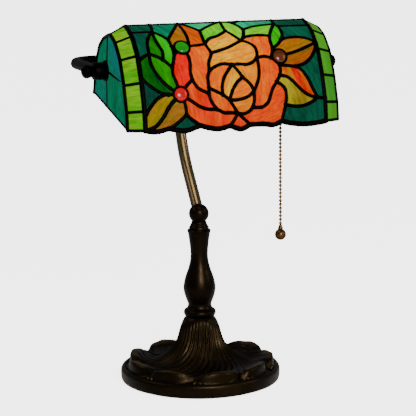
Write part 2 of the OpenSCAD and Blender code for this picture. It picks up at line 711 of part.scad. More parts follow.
eye_y = pivot_y + eye_r - 1;
module yoke_half(r) {
    translate([0, yoke_y, pivot_z]) rotate([0, 90, 0]) cylinder(r = r, h = yoke_x - yoke_bend);
    translate([yoke_x - yoke_bend, yoke_y - yoke_bend, pivot_z])
        rotate_extrude(angle = 90, $fn = 96)
            translate([yoke_bend, 0]) circle(r = r);
    translate([yoke_x, eye_y, pivot_z]) rotate([-90, 0, 0]) cylinder(r = r, h = yoke_y - yoke_bend - eye_y);
}

module yoke_rod() {
    color(blackened)
        difference() {
            for (side = [0, 1])
                mirror([side, 0, 0]) yoke_half(yoke_r);
            at_pivot() along_x(-200, 200, eye_r + 0.02);
        }
}

module yoke_eye(side, bore) {
    color(blackened)
        at_pivot()
            mirror([side < 0 ? 1 : 0, 0, 0])
                difference() {
                    along_x(yoke_x - yoke_r, yoke_x + yoke_r, eye_r);
                    along_x(0, 200, bore);
                }
}

washer_r = 10.5;
module friction_washer(side, bore) {
    color([0.25, 0.25, 0.26])
        at_pivot()
            mirror([side < 0 ? 1 : 0, 0, 0])
                difference() {
                    along_x(shade_half + plate_t + 0.3, yoke_x - yoke_r, washer_r);
                    along_x(0, 200, bore);
                }
}

// ---------- Pivots ----------

knob_x = yoke_x + yoke_r + 0.3;
module knob_body() {
    at_pivot()
        rotate([0, 90, 0])
            rotate_extrude(angle = 360, $fn = 64)
                polygon([[0, knob_x], [5.6, knob_x], [6.4, knob_x + 0.8], [5.8, knob_x + 1.8],
                         [7.2, knob_x + 4.2], [7.6, knob_x + 6.4], [7, knob_x + 9], [5.2, knob_x + 11],
                         [2.6, knob_x + 12.3], [0, knob_x + 12.7]]);
}

module thumbscrew_left() {
    color(blackened)
        mirror([1, 0, 0])
            union() {
                knob_body();
                at_pivot() along_x(107, knob_x + 2, bolt_r);
            }
}

module knob_right() {
    color(blackened)
        difference() {
            knob_body();
            at_pivot() along_x(knob_x - 1, knob_x + 8, nipple_r + 0.1);
        }
}

locknut_x = shade_half - glass_t - came_in - plate_t - 0.3;
module pivot_nipple() {
    color(brass)
        at_pivot()
            difference() {
                along_x(101, knob_x + 7, nipple_r);
                along_x(90, 160, 3.4);
            }
}

module nipple_locknut() {
    color(brass)
        at_pivot()
            difference() {
                rotate([0, 90, 0]) translate([0, 0, locknut_x - 3]) cylinder(r = 8.2, h = 3, $fn = 6);
                along_x(90, 130, nipple_r + 0.02);
            }
}

module end_plates(side, bore) {
    color(brass)
        at_pivot()
            mirror([side < 0 ? 1 : 0, 0, 0])
                difference() {
                    union() {
                        along_x(shade_half + came_out, shade_half + plate_t, plate_r);
                        along_x(shade_half - glass_t - came_in - plate_t, shade_half - glass_t - came_in, plate_r);
                    }
                    along_x(0, 200, bore);
                }
}

module hinge_nut() {
    color(brass)
        at_pivot()
            mirror([1, 0, 0])
                difference() {
                    rotate([0, 90, 0])
                        translate([0, 0, shade_half - glass_t - came_in - plate_t - 4]) cylinder(r = 6, h = 4, $fn = 6);
                    along_x(90, 130, bolt_r + 0.08);
                }
}

// ---------- Lamp holder ----------

shell_r = 17.5;
cap_x = 107;
shell_x = 92;
module socket_cap() {
    color(brass)
        at_pivot()
            rotate([0, 90, 0])
                difference() {
                    rotate_extrude($fn = 96)
                        polygon([[nipple_r + 0.1, cap_x], [8, cap_x], [13, cap_x - 2.5], [16.5, cap_x - 7],
                                 [shell_r + 0.8, shell_x + 3], [shell_r + 0.8, shell_x - 4],
                                 [shell_r + 0.05, shell_x - 4], [shell_r + 0.05, shell_x + 1],
                                 [14.5, shell_x + 4], [12, cap_x - 5], [nipple_r + 0.1, cap_x - 3]]);
                }
}

module socket_shell() {
    color(brass)
        at_pivot()
            difference() {
                union() {
                    along_x(socket_mouth_x, shell_x, shell_r);
                    along_x(socket_mouth_x, socket_mouth_x + 5, shell_r + 1.4);
                }
                along_x(socket_mouth_x - 1, shell_x + 1, shell_r - 0.9);
                translate([chain_x, 0, -30]) cylinder(r = 3.6, h = 30);
            }
}

module socket_liner() {
    color([0.85, 0.83, 0.78])
        at_pivot()
            difference() {
                along_x(socket_mouth_x + 1, shell_x - 1, shell_r - 1);
                along_x(socket_mouth_x - 1, 73, 14.4);
                along_x(72, 90, 2);
                translate([chain_x, 0, -30]) cylinder(r = 3.6, h = 26);
            }
}

module socket_screw_shell() {
    color(brass)
        at_pivot()
            difference() {
                along_x(socket_mouth_x + 3, 72.8, 14.3);
                along_x(socket_mouth_x, 80, 13.7);
            }
}

module socket_contact() {
    color(brass)
        at_pivot()
            union() {
                along_x(71.2, 72.9, 3.5);
                along_x(72, 80, 1.9);
            }
}

module switch_stem() {
    color(brass)
        translate([chain_x, pivot_y, chain_top_z])
            difference() {
                rotate_extrude($fn = 64)
                    polygon([[0, 0], [3.6, 0], [4.4, 0.8], [3.4, 2.4], [3.4, 14], [0, 14]]);
                translate([0, 0, -1]) cylinder(r = 2, h = 12);
            }
}

// ---------- Bulb ----------

globe_profile = [[0, 0], [10.6, 0], [12.6, 5], [14.2, 12], [17.4, 22], [22, 33], [27, 43], [29.6, 53],
                 [29.8, 62], [27.6, 71], [22.8, 78], [15.6, 82.4], [7.6, 84.6], [0, 85]];
bulb_x = 47;
module bulb_globe() {
    color([1, 0.93, 0.8])
        at_pivot()
            translate([bulb_x, 0, 0])
                rotate([0, -90, 0])
                    rotate_extrude($fn = 96)
                        polygon(globe_profile);
}

module bulb_cap() {
    color(zinc)
        at_pivot()
            union() {
                along_x(bulb_x, 67, 13.1);
                translate([67, 0, 0]) rotate([0, 90, 0]) cylinder(r1 = 13.1, r2 = 6, h = 2.5);
            }
}

module bulb_contact() {
    color(brass)
        at_pivot() along_x(69.5, 71, 4);
}

// ---------- Pull chain ----------

bead_top_z = chain_top_z + 3;
function bead_z(i) = bead_top_z - i * bead_pitch;
last_bead_z = bead_z(beads - 1);
module chain_beads() {
    color(brass)
        for (i = [0:beads - 1])
            translate([chain_x, pivot_y, bead_z(i)]) sphere(r = bead_d / 2);
}

module chain_links() {
    gap = bead_pitch - bead_d;
    color(brass)
        for (i = [0:beads - 2])
            translate([chain_x, pivot_y, bead_z(i) - bead_d / 2 - gap])
                cylinder(r = 0.45, h = gap);
}

bell_z = last_bead_z - bead_d / 2 - 5;
module chain_bell() {
    color(brass)
        translate([chain_x, pivot_y, bell_z])
            rotate_extrude($fn = 48)
                polygon([[0, 0], [2.9, 0], [3.1, 0.9], [2.4, 2.2], [1.9, 4], [1.2, 5], [0, 5]]);
}

module chain_ball() {
    color(brass)
        translate([chain_x, pivot_y, bell_z - chain_ball_r])
            difference() {
                sphere(r = chain_ball_r, $fn = 64);
                translate([0, 0, chain_ball_r - 0.6]) cylinder(r = 4, h = 2);
            }
}

felt_pad();
base_casting();
base_weight();
base_washer();
base_nut();
cord_bushing();
lamp_pipe();
column_ring();
column_vase();
column_cap();
column_ball();
bent_arm();
arm_collar();
yoke_hub();
yoke_rod();
yoke_eye(-1, bolt_r + 0.1);  // yoke_eye_left
yoke_eye(1, nipple_r + 0.05);  // yoke_eye_right
friction_washer(-1, bolt_r + 0.1);  // friction_washer_left
friction_washer(1, nipple_r + 0.05);  // friction_washer_right
pivot_nipple();
nipple_locknut();
socket_cap();
socket_shell();
socket_liner();
socket_screw_shell();
socket_contact();
switch_stem();
color(petal) panes_named("petal");  // petal_panes
color(heart) panes_named("heart");  // heart_panes
color(bright_leaf) panes_named("bright");  // bright_leaf_panes
color(green_leaf) panes_named("green");  // green_leaf_panes
color(autumn_leaf) panes_named("autumn");  // autumn_leaf_panes
color(teal) panes_named("teal");  // background_panes
back_panes();
border_panes(-1);  // border_panes_left
border_panes(1);  // border_panes_right
end_panes(-1);  // end_panes_left
end_panes(1);  // end_panes_right
color([0.85, 0.05, 0.12]) jewel("ruby", 7.1);  // ruby_jewel
color([0.02, 0.45, 0.05]) jewel("emerald", 7.4);  // emerald_jewel
color([0.45, 0.2, 0.05]) jewel("amber", 7.1);  // amber_jewel
front_came();
back_came();
border_came(-1);  // border_came_left
border_came(1);  // border_came_right
end_came(-1);  // end_came_left
end_came(1);  // end_came_right
end_plates(-1, bolt_r + 0.08);  // end_plates_left
end_plates(1, nipple_r + 0.08);  // end_plates_right
hinge_nut();
thumbscrew_left();
knob_right();
bulb_globe();
bulb_cap();
bulb_contact();
chain_beads();
chain_links();
chain_bell();
chain_ball();
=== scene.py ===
"""Looks of the stained glass table lamp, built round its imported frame.

All sizes are in millimetres in the frame's axes (+X right, +Y back, +Z up) until a piece is placed.
"""

import sys

import logging
import math
import random
from dataclasses import dataclass, field
from enum import Enum
from typing import Callable, Iterable, Sequence

import bpy
from mathutils import Matrix, Vector

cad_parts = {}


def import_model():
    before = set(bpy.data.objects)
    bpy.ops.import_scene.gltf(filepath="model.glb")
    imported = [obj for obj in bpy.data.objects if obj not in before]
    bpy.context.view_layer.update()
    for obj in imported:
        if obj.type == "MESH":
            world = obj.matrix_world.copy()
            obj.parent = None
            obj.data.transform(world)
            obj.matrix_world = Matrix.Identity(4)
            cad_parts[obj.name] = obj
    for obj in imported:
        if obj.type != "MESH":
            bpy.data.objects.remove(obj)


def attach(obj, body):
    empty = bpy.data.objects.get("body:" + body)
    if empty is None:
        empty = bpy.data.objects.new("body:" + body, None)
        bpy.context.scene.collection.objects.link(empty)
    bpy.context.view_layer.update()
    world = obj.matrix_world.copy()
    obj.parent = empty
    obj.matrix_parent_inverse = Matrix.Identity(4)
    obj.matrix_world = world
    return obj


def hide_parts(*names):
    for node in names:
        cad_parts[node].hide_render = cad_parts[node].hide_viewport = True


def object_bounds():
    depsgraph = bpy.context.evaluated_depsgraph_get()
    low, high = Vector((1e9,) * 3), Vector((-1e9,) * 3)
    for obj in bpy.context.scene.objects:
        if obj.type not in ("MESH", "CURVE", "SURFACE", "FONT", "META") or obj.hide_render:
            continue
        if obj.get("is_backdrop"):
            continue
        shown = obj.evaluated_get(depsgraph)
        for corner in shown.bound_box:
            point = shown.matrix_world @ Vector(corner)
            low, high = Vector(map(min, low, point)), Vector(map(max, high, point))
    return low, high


LOG = logging.getLogger("lamp")
MM = 0.001
Point = tuple[float, float]
Colour = tuple[int, int, int]
Linear = tuple[float, float, float, float]
Place = Callable[[float, float], Vector]

TILT_AXIS: Point = (-45.6, 364.0)  # y and z of the shade's hinge
CHAIN_X = 81.0
RIDGE = 5  # the profile's highest corner, where front and back meet
GLASS_IN = 0.5  # how far the glass lies inside the shade's outer face
GLASS_T = 2.0


class Body(Enum):
    """The rigid bodies that a piece can ride on."""

    STAND = "stand"
    SHADE = "shade"
    THUMBSCREW = "thumbscrew"
    KNOB = "knob"
    BULB = "bulb"
    CHAIN = "pull_chain"


class Side(Enum):
    """The two ends of the shade."""

    LEFT = -1
    RIGHT = 1


# ---------------------------------------------------------------- shapes


def deselect() -> None:
    """Leaves edit mode and selects nothing."""
    if bpy.context.object and bpy.context.object.mode != "OBJECT":
        bpy.ops.object.mode_set(mode="OBJECT")
    bpy.ops.object.select_all(action="DESELECT")


def activate(obj: bpy.types.Object) -> None:
    """Selects one object and makes it active.

    Args:
        obj: the object.
    """
    deselect()
    obj.select_set(True)
    bpy.context.view_layer.objects.active = obj


def clean(obj: bpy.types.Object, merge: float = 0.004 * MM) -> bpy.types.Object:
    """Merges coincident points and turns the faces outwards.

    Args:
        obj: the mesh object.
        merge: points nearer than this become one, in metres.

    Returns:
        The same object.
    """
    activate(obj)
    bpy.ops.object.mode_set(mode="EDIT")
    bpy.ops.mesh.select_all(action="SELECT")
    bpy.ops.mesh.remove_doubles(threshold=merge)
    bpy.ops.mesh.dissolve_degenerate(threshold=merge * 0.5)
    bpy.ops.mesh.select_all(action="SELECT")
    bpy.ops.mesh.normals_make_consistent(inside=False)
    bpy.ops.object.mode_set(mode="OBJECT")
    return obj


def smooth(obj: bpy.types.Object, degrees: float = 40.0) -> bpy.types.Object:
    """Shades an object smooth, with creases above an angle.

    Args:
        obj: the mesh object.
        degrees: edges sharper than this stay sharp.

    Returns:
        The same object.
    """
    activate(obj)
    bpy.ops.object.shade_smooth_by_angle(angle=math.radians(degrees))
    return obj


def grid(name: str, cols: int, rows: int, place: Place) -> bpy.types.Object:
    """Bends a flat grid into a surface.

    Args:
        name: the object's name.
        cols: steps along u.
        rows: steps along v.
        place: gives the point in millimetres for u and v, each from 0 to 1.

    Returns:
        The new mesh object, its seams merged.
    """
    deselect()
    bpy.ops.mesh.primitive_grid_add(x_subdivisions=cols, y_subdivisions=rows, size=2)
    obj = bpy.context.object
    obj.name = obj.data.name = name
    for vert in obj.data.vertices:
        u, v = (vert.co.x + 1) / 2, (vert.co.y + 1) / 2
        vert.co = place(u, v) * MM
    return clean(obj)


def join(name: str, objs: Sequence[bpy.types.Object]) -> bpy.types.Object:
    """Joins objects into the first one and renames it.

    Args:
        name: the joined object's name.
        objs: the objects, at least one.

    Returns:
        The joined object.
    """
    deselect()
    for obj in objs:
        obj.select_set(True)
    bpy.context.view_layer.objects.active = objs[0]
    if len(objs) > 1:
        bpy.ops.object.join()
    result = bpy.context.object
    result.name = result.data.name = name
    return result


def spline(points: Sequence[Sequence[float]], t: float) -> Vector:
    """A smooth curve through points.

    Args:
        points: the points to pass through.
        t: position from 0 to the number of spans.

    Returns:
        The point on the curve.
    """
    n = len(points) - 1
    i = max(0, min(n - 1, int(math.floor(t))))
    f = t - i
    b, c = Vector(points[i]), Vector(points[i + 1])
    a = Vector(points[i - 1]) if i > 0 else 2 * b - c
    d = Vector(points[i + 2]) if i + 2 <= n else 2 * c - b
    sag = 2 * a - 5 * b + 4 * c - d
    return 0.5 * (2 * b + f * (c - a) + f * f * sag + f**3 * (3 * b - a - 3 * c + d))


def curve(points: Sequence[Sequence[float]], step: float) -> list[Vector]:
    """Samples a smooth curve through points.

    Args:
        points: the points to pass through.
        step: about how far apart the samples are.

    Returns:
        The samples, both ends included.
    """
    out: list[Vector] = []
    for i in range(len(points) - 1):
        span = (Vector(points[i + 1]) - Vector(points[i])).length
        n = max(1, round(span / step))
        out += [spline(points, i + k / n) for k in range(n)]
    return out + [Vector(points[-1])]


def revolve(
    name: str,
    outline: Sequence[Point],
    steps: int = 64,
    base: Vector = Vector((0, 0, 0)),
    axis: Vector = Vector((0, 0, 1)),
    crease: float = 35.0,
) -> bpy.types.Object:
    """Turns an outline round an axis.

    Args:
        name: the object's name.
        outline: (radius, height) points; a radius of 0 closes the end.
        steps: steps round the axis.
        base: where height 0 is.
        axis: the direction of the height.
        crease: edges sharper than this stay sharp, in degrees.

    Returns:
        The new mesh object.
    """
    turn = axis.normalized().to_track_quat("Z", "Y")
    last = len(outline) - 1

    def place(u: float, v: float) -> Vector:
        """The point of the turned surface.

        Args:
            u: share of the way round.
            v: share of the way along.

        Returns:
            The point, in millimetres.
        """
        r, h = outline[round(v * last)]
        a = 2 * math.pi * (round(u * steps) % steps) / steps
        return base + turn @ Vector((r * math.cos(a), r * math.sin(a), h))

    return smooth(grid(name, steps, last, place), crease)


def sweep(
    name: str,
    path: Sequence[Vector],
    radius: float | Sequence[float],
    sides: int = 12,
    flat: float = 1.0,
    up: Sequence[Vector] | None = None,
    closed: bool = False,
) -> bpy.types.Object:
    """Sweeps a round or flattened section along a path.

    Args:
        name: the object's name.
        path: centre points.
        radius: half the section's width, one value or one for each point.
        sides: corners of the section.
        flat: height of the section as a share of its width.
        up: direction of the section's height at each point, or None to carry one along.
        closed: whether the path returns to its start.

    Returns:
        The new mesh object.
    """
    n = len(path)
    radii = [radius] * n if isinstance(radius, (int, float)) else list(radius)
    tangents = []
    for i in range(n):
        a = path[i - 1] if (i > 0 or closed) else path[i]
        b = path[(i + 1) % n] if (i < n - 1 or closed) else path[i]
        tangents.append((b - a).normalized())
    normal = tangents[0].orthogonal().normalized()
    rows: list[tuple[Vector, Vector, Vector, float]] = []
    for i in range(n):
        lift = up[i] if up else normal
        normal = (lift - tangents[i] * lift.dot(tangents[i])).normalized()
        rows.append((path[i], normal, tangents[i].cross(normal), radii[i]))
    if closed:
        rows.append(rows[0])
    else:
        rows = [(*rows[0][:3], 0.0), *rows, (*rows[-1][:3], 0.0)]

    def place(u: float, v: float) -> Vector:
        """The point of the swept surface.

        Args:
            u: share of the way round.
            v: share of the way along.

        Returns:
            The point, in millimetres.
        """
        c, nor, side, r = rows[round(v * (len(rows) - 1))]
        a = 2 * math.pi * (round(u * sides) % sides) / sides
        return c + side * (r * math.cos(a)) + nor * (r * flat * math.sin(a))

    return smooth(grid(name, sides, len(rows) - 1, place), 50)


def ball(name: str, centre: Vector, radius: float, segments: int = 24) -> bpy.types.Object:
    """Adds a round ball.

    Args:
        name: the object's name.
        centre: its centre, in millimetres.
        radius: its radius, in millimetres.
        segments: steps round it.

    Returns:
        The new mesh object.
    """
    deselect()
    bpy.ops.mesh.primitive_uv_sphere_add(
        segments=segments, ring_count=segments // 2, radius=radius * MM, location=centre * MM
    )
    obj = bpy.context.object
    bpy.ops.object.transform_apply(location=True, rotation=True, scale=True)
    obj.name = obj.data.name = name
    bpy.ops.object.shade_smooth()
    return obj


def ring(inner: float, outer: float, low: float, high: float) -> list[Point]:
    """The closed outline of a plain ring, as (radius, height) points."""
    return [(inner, low), (outer, low), (outer, high), (inner, high), (inner, low)]


def lead(
    path: Sequence[Vector], radius: float | Sequence[float], ups: Sequence[Vector]
) -> bpy.types.Object:
    """One rounded line of lead came along a path."""
    return sweep("line", path, radius, 10, 0.95, ups)


def solder(centre: Vector, radius: float) -> bpy.types.Object:
    """One blob of solder where lines of came meet."""
    return ball("solder", centre, radius, 10)


def signed_area(outline: Sequence[Vector]) -> float:
    """Twice the area inside a flat outline, negative if it runs clockwise."""
    turned = outline[1:] + outline[:1]
    return sum(q.x * r.y - r.x * q.y for q, r in zip(outline, turned))


def wave(i: int, steps: int = 8) -> float:
    """A screw thread's ripple at sample i, from -1 to 1."""
    return math.cos(2 * math.pi * i / steps)


# ---------------------------------------------------------------- finishes


def linear(colour: Colour) -> Linear:
    """Turns a display colour of 0 to 255 into a linear one.

    Args:
        colour: red, green and blue.

    Returns:
        The linear colour, with an alpha of 1.
    """

    def one(c: float) -> float:
        """One channel."""
        c /= 255
        return c / 12.92 if c <= 0.04045 else ((c + 0.055) / 1.055) ** 2.4

    return (one(colour[0]), one(colour[1]), one(colour[2]), 1.0)


def lit(colour: Colour) -> Linear:
    """A glass colour, deepened so that it stays rich under its painted glow.

    Args:
        colour: the display colour.

    Returns:
        The linear colour, with an alpha of 1.
    """
    red, green, blue = linear(colour)[:3]
    grey = 0.12 * max(red, green, blue) ** 2
    warm, cool = 0.85 + 0.23 * red, 0.78
    return (
        max(0.0, red - grey) * warm,
        max(0.0, green - grey) * cool,
        max(0.0, blue - grey) * cool,
        1.0,
    )


class Graph:
    """A small builder for shader nodes."""

    def __init__(self, name: str) -> None:
        """Starts a material with a shader and an output.

        Args:
            name: the material's name.
        """
        self.material = bpy.data.materials.new(name)
        self.material.use_nodes = True
        self.tree = self.material.node_tree
        self.tree.nodes.clear()
        self.shader = self.add("ShaderNodeBsdfPrincipled")
        out = self.add("ShaderNodeOutputMaterial")
        self.tree.links.new(self.shader.outputs["BSDF"], out.inputs["Surface"])

    def add(self, kind: str, **settings: object) -> bpy.types.Node:
        """Adds a node and sets its attributes.

        Args:
            kind: the node's type.
            **settings: the attributes and their values.

        Returns:
            The new node.
        """
        node = self.tree.nodes.new(kind)
        for key, value in settings.items():
            setattr(node, key, value)
        return node

    def feed(self, socket: bpy.types.NodeSocket, value: object) -> None:
        """Links or sets one input.

        Args:
            socket: the input.
            value: a socket to link, or a plain value.
        """
        if isinstance(value, bpy.types.NodeSocket):
            self.tree.links.new(value, socket)
        elif isinstance(value, tuple) and len(value) == 3 and socket.type == "RGBA":
            socket.default_value = (*value, 1.0)
        else:
            socket.default_value = value

    def math(
        self, operation: str, a: object, b: object = 0.0, clamp: bool = False
    ) -> bpy.types.NodeSocket:
        """One arithmetic step.

        Args:
            operation: the node's operation.
            a: first input.
            b: second input.
            clamp: whether the result is held between 0 and 1.

        Returns:
            The result's socket.
        """
        node = self.add("ShaderNodeMath", operation=operation, use_clamp=clamp)
        self.feed(node.inputs[0], a)
        self.feed(node.inputs[1], b)
        return node.outputs[0]

    def mix(self, factor: object, a: object, b: object) -> bpy.types.NodeSocket:
        """Mixes two colours.

        Args:
            factor: 0 gives a, 1 gives b.
            a: first colour.
            b: second colour.

        Returns:
            The mixed colour's socket.
        """
        node = self.add("ShaderNodeMix", data_type="RGBA")
        self.feed(node.inputs[0], factor)
        self.feed(node.inputs[6], a)
        self.feed(node.inputs[7], b)
        return node.outputs[2]

    def noise(
        self, vector: object, scale: float, detail: float = 3.0, rough: float = 0.55
    ) -> bpy.types.NodeSocket:
        """Smooth noise of 0 to 1.

        Args:
            vector: where it is read.
            scale: features to a unit of the vector.
            detail: finer layers on top.
            rough: how strong the finer layers are.

        Returns:
            The value's socket.
        """
        node = self.add("ShaderNodeTexNoise")
        self.feed(node.inputs["Vector"], vector)
        self.feed(node.inputs["Scale"], scale)
        self.feed(node.inputs["Detail"], detail)
        self.feed(node.inputs["Roughness"], rough)
        return node.outputs["Fac"]

    def span(
        self, value: object, low: float, high: float, to_low: float = 0.0, to_high: float = 1.0
    ) -> bpy.types.NodeSocket:
        """Maps a range onto another one, clamped.

        Args:
            value: the input.
            low: input that gives to_low.
            high: input that gives to_high.
            to_low: first end of the result.
            to_high: other end of the result.

        Returns:
            The result's socket.
        """
        node = self.add("ShaderNodeMapRange", clamp=True)
        for socket, v in zip(node.inputs, (value, low, high, to_low, to_high)):
            self.feed(socket, v)
        return node.outputs[0]

    def place(self) -> bpy.types.NodeSocket:
        """The point in the object's own axes, in metres."""
        return self.add("ShaderNodeTexCoord").outputs["Object"]

    def attribute(self, name: str) -> bpy.types.Node:
        """A colour or value kept on the mesh."""
        return self.add("ShaderNodeAttribute", attribute_name=name)

    def bump(self, height: object, strength: float, distance: float) -> None:
        """Adds a bump to the shader.

        Args:
            height: the height's socket.
            strength: how strongly it shows.
            distance: how deep it reads, in metres.
        """
        node = self.add("ShaderNodeBump")
        self.feed(node.inputs["Strength"], strength)
        self.feed(node.inputs["Distance"], distance)
        self.feed(node.inputs["Height"], height)
        self.feed(self.shader.inputs["Normal"], node.outputs["Normal"])

    def set(self, **values: object) -> None:
        """Sets or links the shader's sockets; an underscore in a name stands for a space."""
        for key, value in values.items():
            self.feed(self.shader.inputs[key.replace("_", " ")], value)


@dataclass(frozen=True)
class Metal:
    """A metal with darker hollows and rubbed high places."""

    name: str
    dark: Colour
    rubbed: Colour
    roughness: float
    wear: float = 0.25
    grain: float = 0.12
    metallic: float = 1.0
    bumps: float = 0.25

    def build(self) -> bpy.types.Material:
        """Makes the material.

        Returns:
            The material, rubbed where the mesh's wear value says so.
        """
        g = Graph(self.name)
        at = g.place()
        patch = g.span(g.noise(at, 38.0, 5.0, 0.6), 0.42, 0.72)
        patch = g.math("MULTIPLY", patch, self.wear)
        worn = g.math("ADD", patch, g.attribute("wear").outputs["Fac"], clamp=True)
        colour = g.mix(worn, linear(self.dark), linear(self.rubbed))
        fine = g.noise(at, 900.0, 2.0)
        sharp, dull = self.roughness - self.grain * 0.5, self.roughness + self.grain
        g.set(
            Base_Color=g.mix(g.math("MULTIPLY", fine, 0.35), colour, (0.0, 0.0, 0.0)),
            Metallic=self.metallic,
            Roughness=g.span(fine, 0.3, 0.7, sharp, dull),
            Specular_IOR_Level=0.5,
        )
        g.bump(g.noise(at, 260.0, 4.0), self.bumps, 0.0004)
        return g.material


@dataclass(frozen=True)
class PaintedGlowGlass:
    """Streaky opal glass with a painted glow: emission that stands in for the lamp's light shining
    through it, brightest near the bulb.
    """

    name: str
    # glow: strength of the painted light that the glass gives off
    glow: float = 1.0
    streak: float = 150.0
    contrast: float = 1.0
    shine: float = 0.05
    # the bulb's place and the reach of the painted pool of light round it, in metres
    lamp: tuple[float, float, float] = (0.0, -0.0456, 0.372)
    closest: float = 0.045
    reach: float = 0.075
    falloff: float = 0.45

    def streams(self, g: Graph, at: bpy.types.NodeSocket) -> bpy.types.NodeSocket:
        """Turns and stretches space along each pane's streaks.

        Args:
            g: the material's graph.
            at: the point on the piece.

        Returns:
            The stretched point.
        """
        xyz = g.add("ShaderNodeSeparateXYZ")
        g.feed(xyz.inputs[0], at)
        across = g.math("ADD", xyz.outputs[0], g.math("MULTIPLY", xyz.outputs[1], 0.7))
        rise = g.math("ADD", xyz.outputs[2], g.math("MULTIPLY", xyz.outputs[1], 0.45))
        flow = g.add("ShaderNodeSeparateColor")
        g.feed(flow.inputs[0], g.attribute("flow").outputs["Color"])
        cos, sin, seed = flow.outputs[0], flow.outputs[1], flow.outputs[2]
        along = g.math("ADD", g.math("MULTIPLY", across, cos), g.math("MULTIPLY", rise, sin))
        over = g.math("SUBTRACT", g.math("MULTIPLY", rise, cos), g.math("MULTIPLY", across, sin))
        vec = g.add("ShaderNodeCombineXYZ")
        g.feed(vec.inputs[0], g.math("MULTIPLY", along, self.streak * 0.22))
        g.feed(vec.inputs[1], g.math("MULTIPLY", over, self.streak))
        g.feed(vec.inputs[2], g.math("MULTIPLY", seed, 40.0))
        return vec.outputs[0]

    def painted_hot_spot(self, g: Graph, at: bpy.types.NodeSocket) -> bpy.types.NodeSocket:
        """How much brighter the painted glow is near the bulb: a painted pool of light.

        Args:
            g: the material's graph.
            at: the point on the piece.

        Returns:
            The factor, 1 at the distance reach.
        """
        far = g.add("ShaderNodeVectorMath", operation="DISTANCE")
        g.feed(far.inputs[0], at)
        far.inputs[1].default_value = self.lamp
        away = g.math("MAXIMUM", far.outputs["Value"], self.closest)
        return g.math("POWER", g.math("DIVIDE", self.reach, away), self.falloff)

    def build(self) -> bpy.types.Material:
        """Makes the material.

        Returns:
            The material, coloured by the mesh's tint, blush and flow, with its light painted on as
            emission.
        """
        g = Graph(self.name)
        at = g.place()
        stream = self.streams(g, at)
        wisps = g.noise(stream, 1.0, 4.0, 0.6)
        clouds = g.noise(stream, 0.28, 2.0, 0.5)
        both = g.math("ADD", g.math("MULTIPLY", wisps, 0.5), g.math("MULTIPLY", clouds, 0.5))
        tint, blush = g.attribute("tint"), g.attribute("blush")
        body = g.mix(g.span(both, 0.38, 0.62), tint.outputs["Color"], blush.outputs["Color"])
        low, high = 1.0 - 0.3 * self.contrast, 1.0 + 0.16 * self.contrast
        fine = g.span(g.noise(stream, 3.2, 3.0, 0.65), 0.3, 0.7, low, high)
        # painted light: the glow, streaky and stronger near the bulb
        strength = g.math("MULTIPLY", g.math("MULTIPLY", self.painted_hot_spot(g, at), fine), self.glow)
        g.set(
            # a nearly black base colour, so that the painted glow carries the glass's colour
            Base_Color=g.mix(0.92, body, (0.0, 0.0, 0.0)),
            Roughness=0.22,
            IOR=1.45,
            Specular_IOR_Level=self.shine,
            Emission_Color=body,
            Emission_Strength=strength,
        )
        g.bump(wisps, 0.12, 0.0006)
        return g.material


@dataclass(frozen=True)
class Plain:
    """A plain finish with a faint mottle."""

    name: str
    colour: Colour
    roughness: float
    glow: float = 0.0
    mottle: float = 0.25
    scale: float = 400.0

    def build(self) -> bpy.types.Material:
        """Makes the material.

        Returns:
            The material.
        """
        g = Graph(self.name)
        grain = g.noise(g.place(), self.scale, 3.0)
        shade = g.mix(g.math("MULTIPLY", grain, self.mottle), linear(self.colour), (0.0, 0.0, 0.0))
        g.set(Base_Color=shade, Roughness=self.roughness, Specular_IOR_Level=0.4)
        if self.glow:
            g.set(Emission_Color=linear(self.colour), Emission_Strength=self.glow)
        else:
            g.bump(grain, 0.2, 0.0003)
        return g.material


@dataclass
class Finishes:
    """Every finish, built once."""

    made: dict[str, bpy.types.Material] = field(default_factory=dict)
    kinds: tuple[Metal | PaintedGlowGlass | Plain, ...] = (
        Metal("cast_bronze", (36, 28, 18), (150, 118, 66), 0.36, wear=0.05),
        Metal("dark_bronze", (30, 23, 16), (110, 84, 54), 0.34, wear=0.08, bumps=0.1),
        Metal(
            "tube_bronze", (150, 124, 96), (168, 142, 112), 0.27, wear=0.1, grain=0.01, bumps=0.02
        ),
        Metal("black_metal", (9, 8, 8), (34, 30, 26), 0.46, wear=0.2),
        Metal("came_patina", (9, 8, 8), (32, 28, 24), 0.44, wear=0.2),
        Metal("antique_brass", (98, 68, 40), (168, 124, 76), 0.34, wear=0.4),
        Metal("zinc_plate", (120, 120, 124), (190, 190, 196), 0.35, wear=0.5),
        # the glass finishes: light through the glass is painted on as emission
        PaintedGlowGlass("panel_glass", glow=1.15, contrast=1.5),
        PaintedGlowGlass("border_glass", glow=1.35, streak=210.0, contrast=1.3),
        PaintedGlowGlass("end_glass", glow=1.5, streak=170.0, contrast=1.5, shine=0.0),
        PaintedGlowGlass("jewel_glass", glow=1.1, streak=90.0, contrast=0.5, shine=0.35),
        Plain("felt", (22, 30, 26), 0.95, mottle=0.6, scale=1500.0),
        Plain("dark_rubber", (18, 18, 18), 0.6),
        Plain("liner_card", (206, 198, 180), 0.8),
        Plain("bulb_opal", (255, 238, 205), 0.3, glow=4.0, mottle=0.05),
    )

    def __post_init__(self) -> None:
        """Builds every finish."""
        for kind in self.kinds:
            self.made[kind.name] = kind.build()

    def paint(self, obj: bpy.types.Object, name: str) -> bpy.types.Object:
        """Gives an object one finish.

        Args:
            obj: the object.
            name: the finish's name.

        Returns:
            The same object.
        """
        obj.data.materials.clear()
        obj.data.materials.append(self.made[name])
        return obj


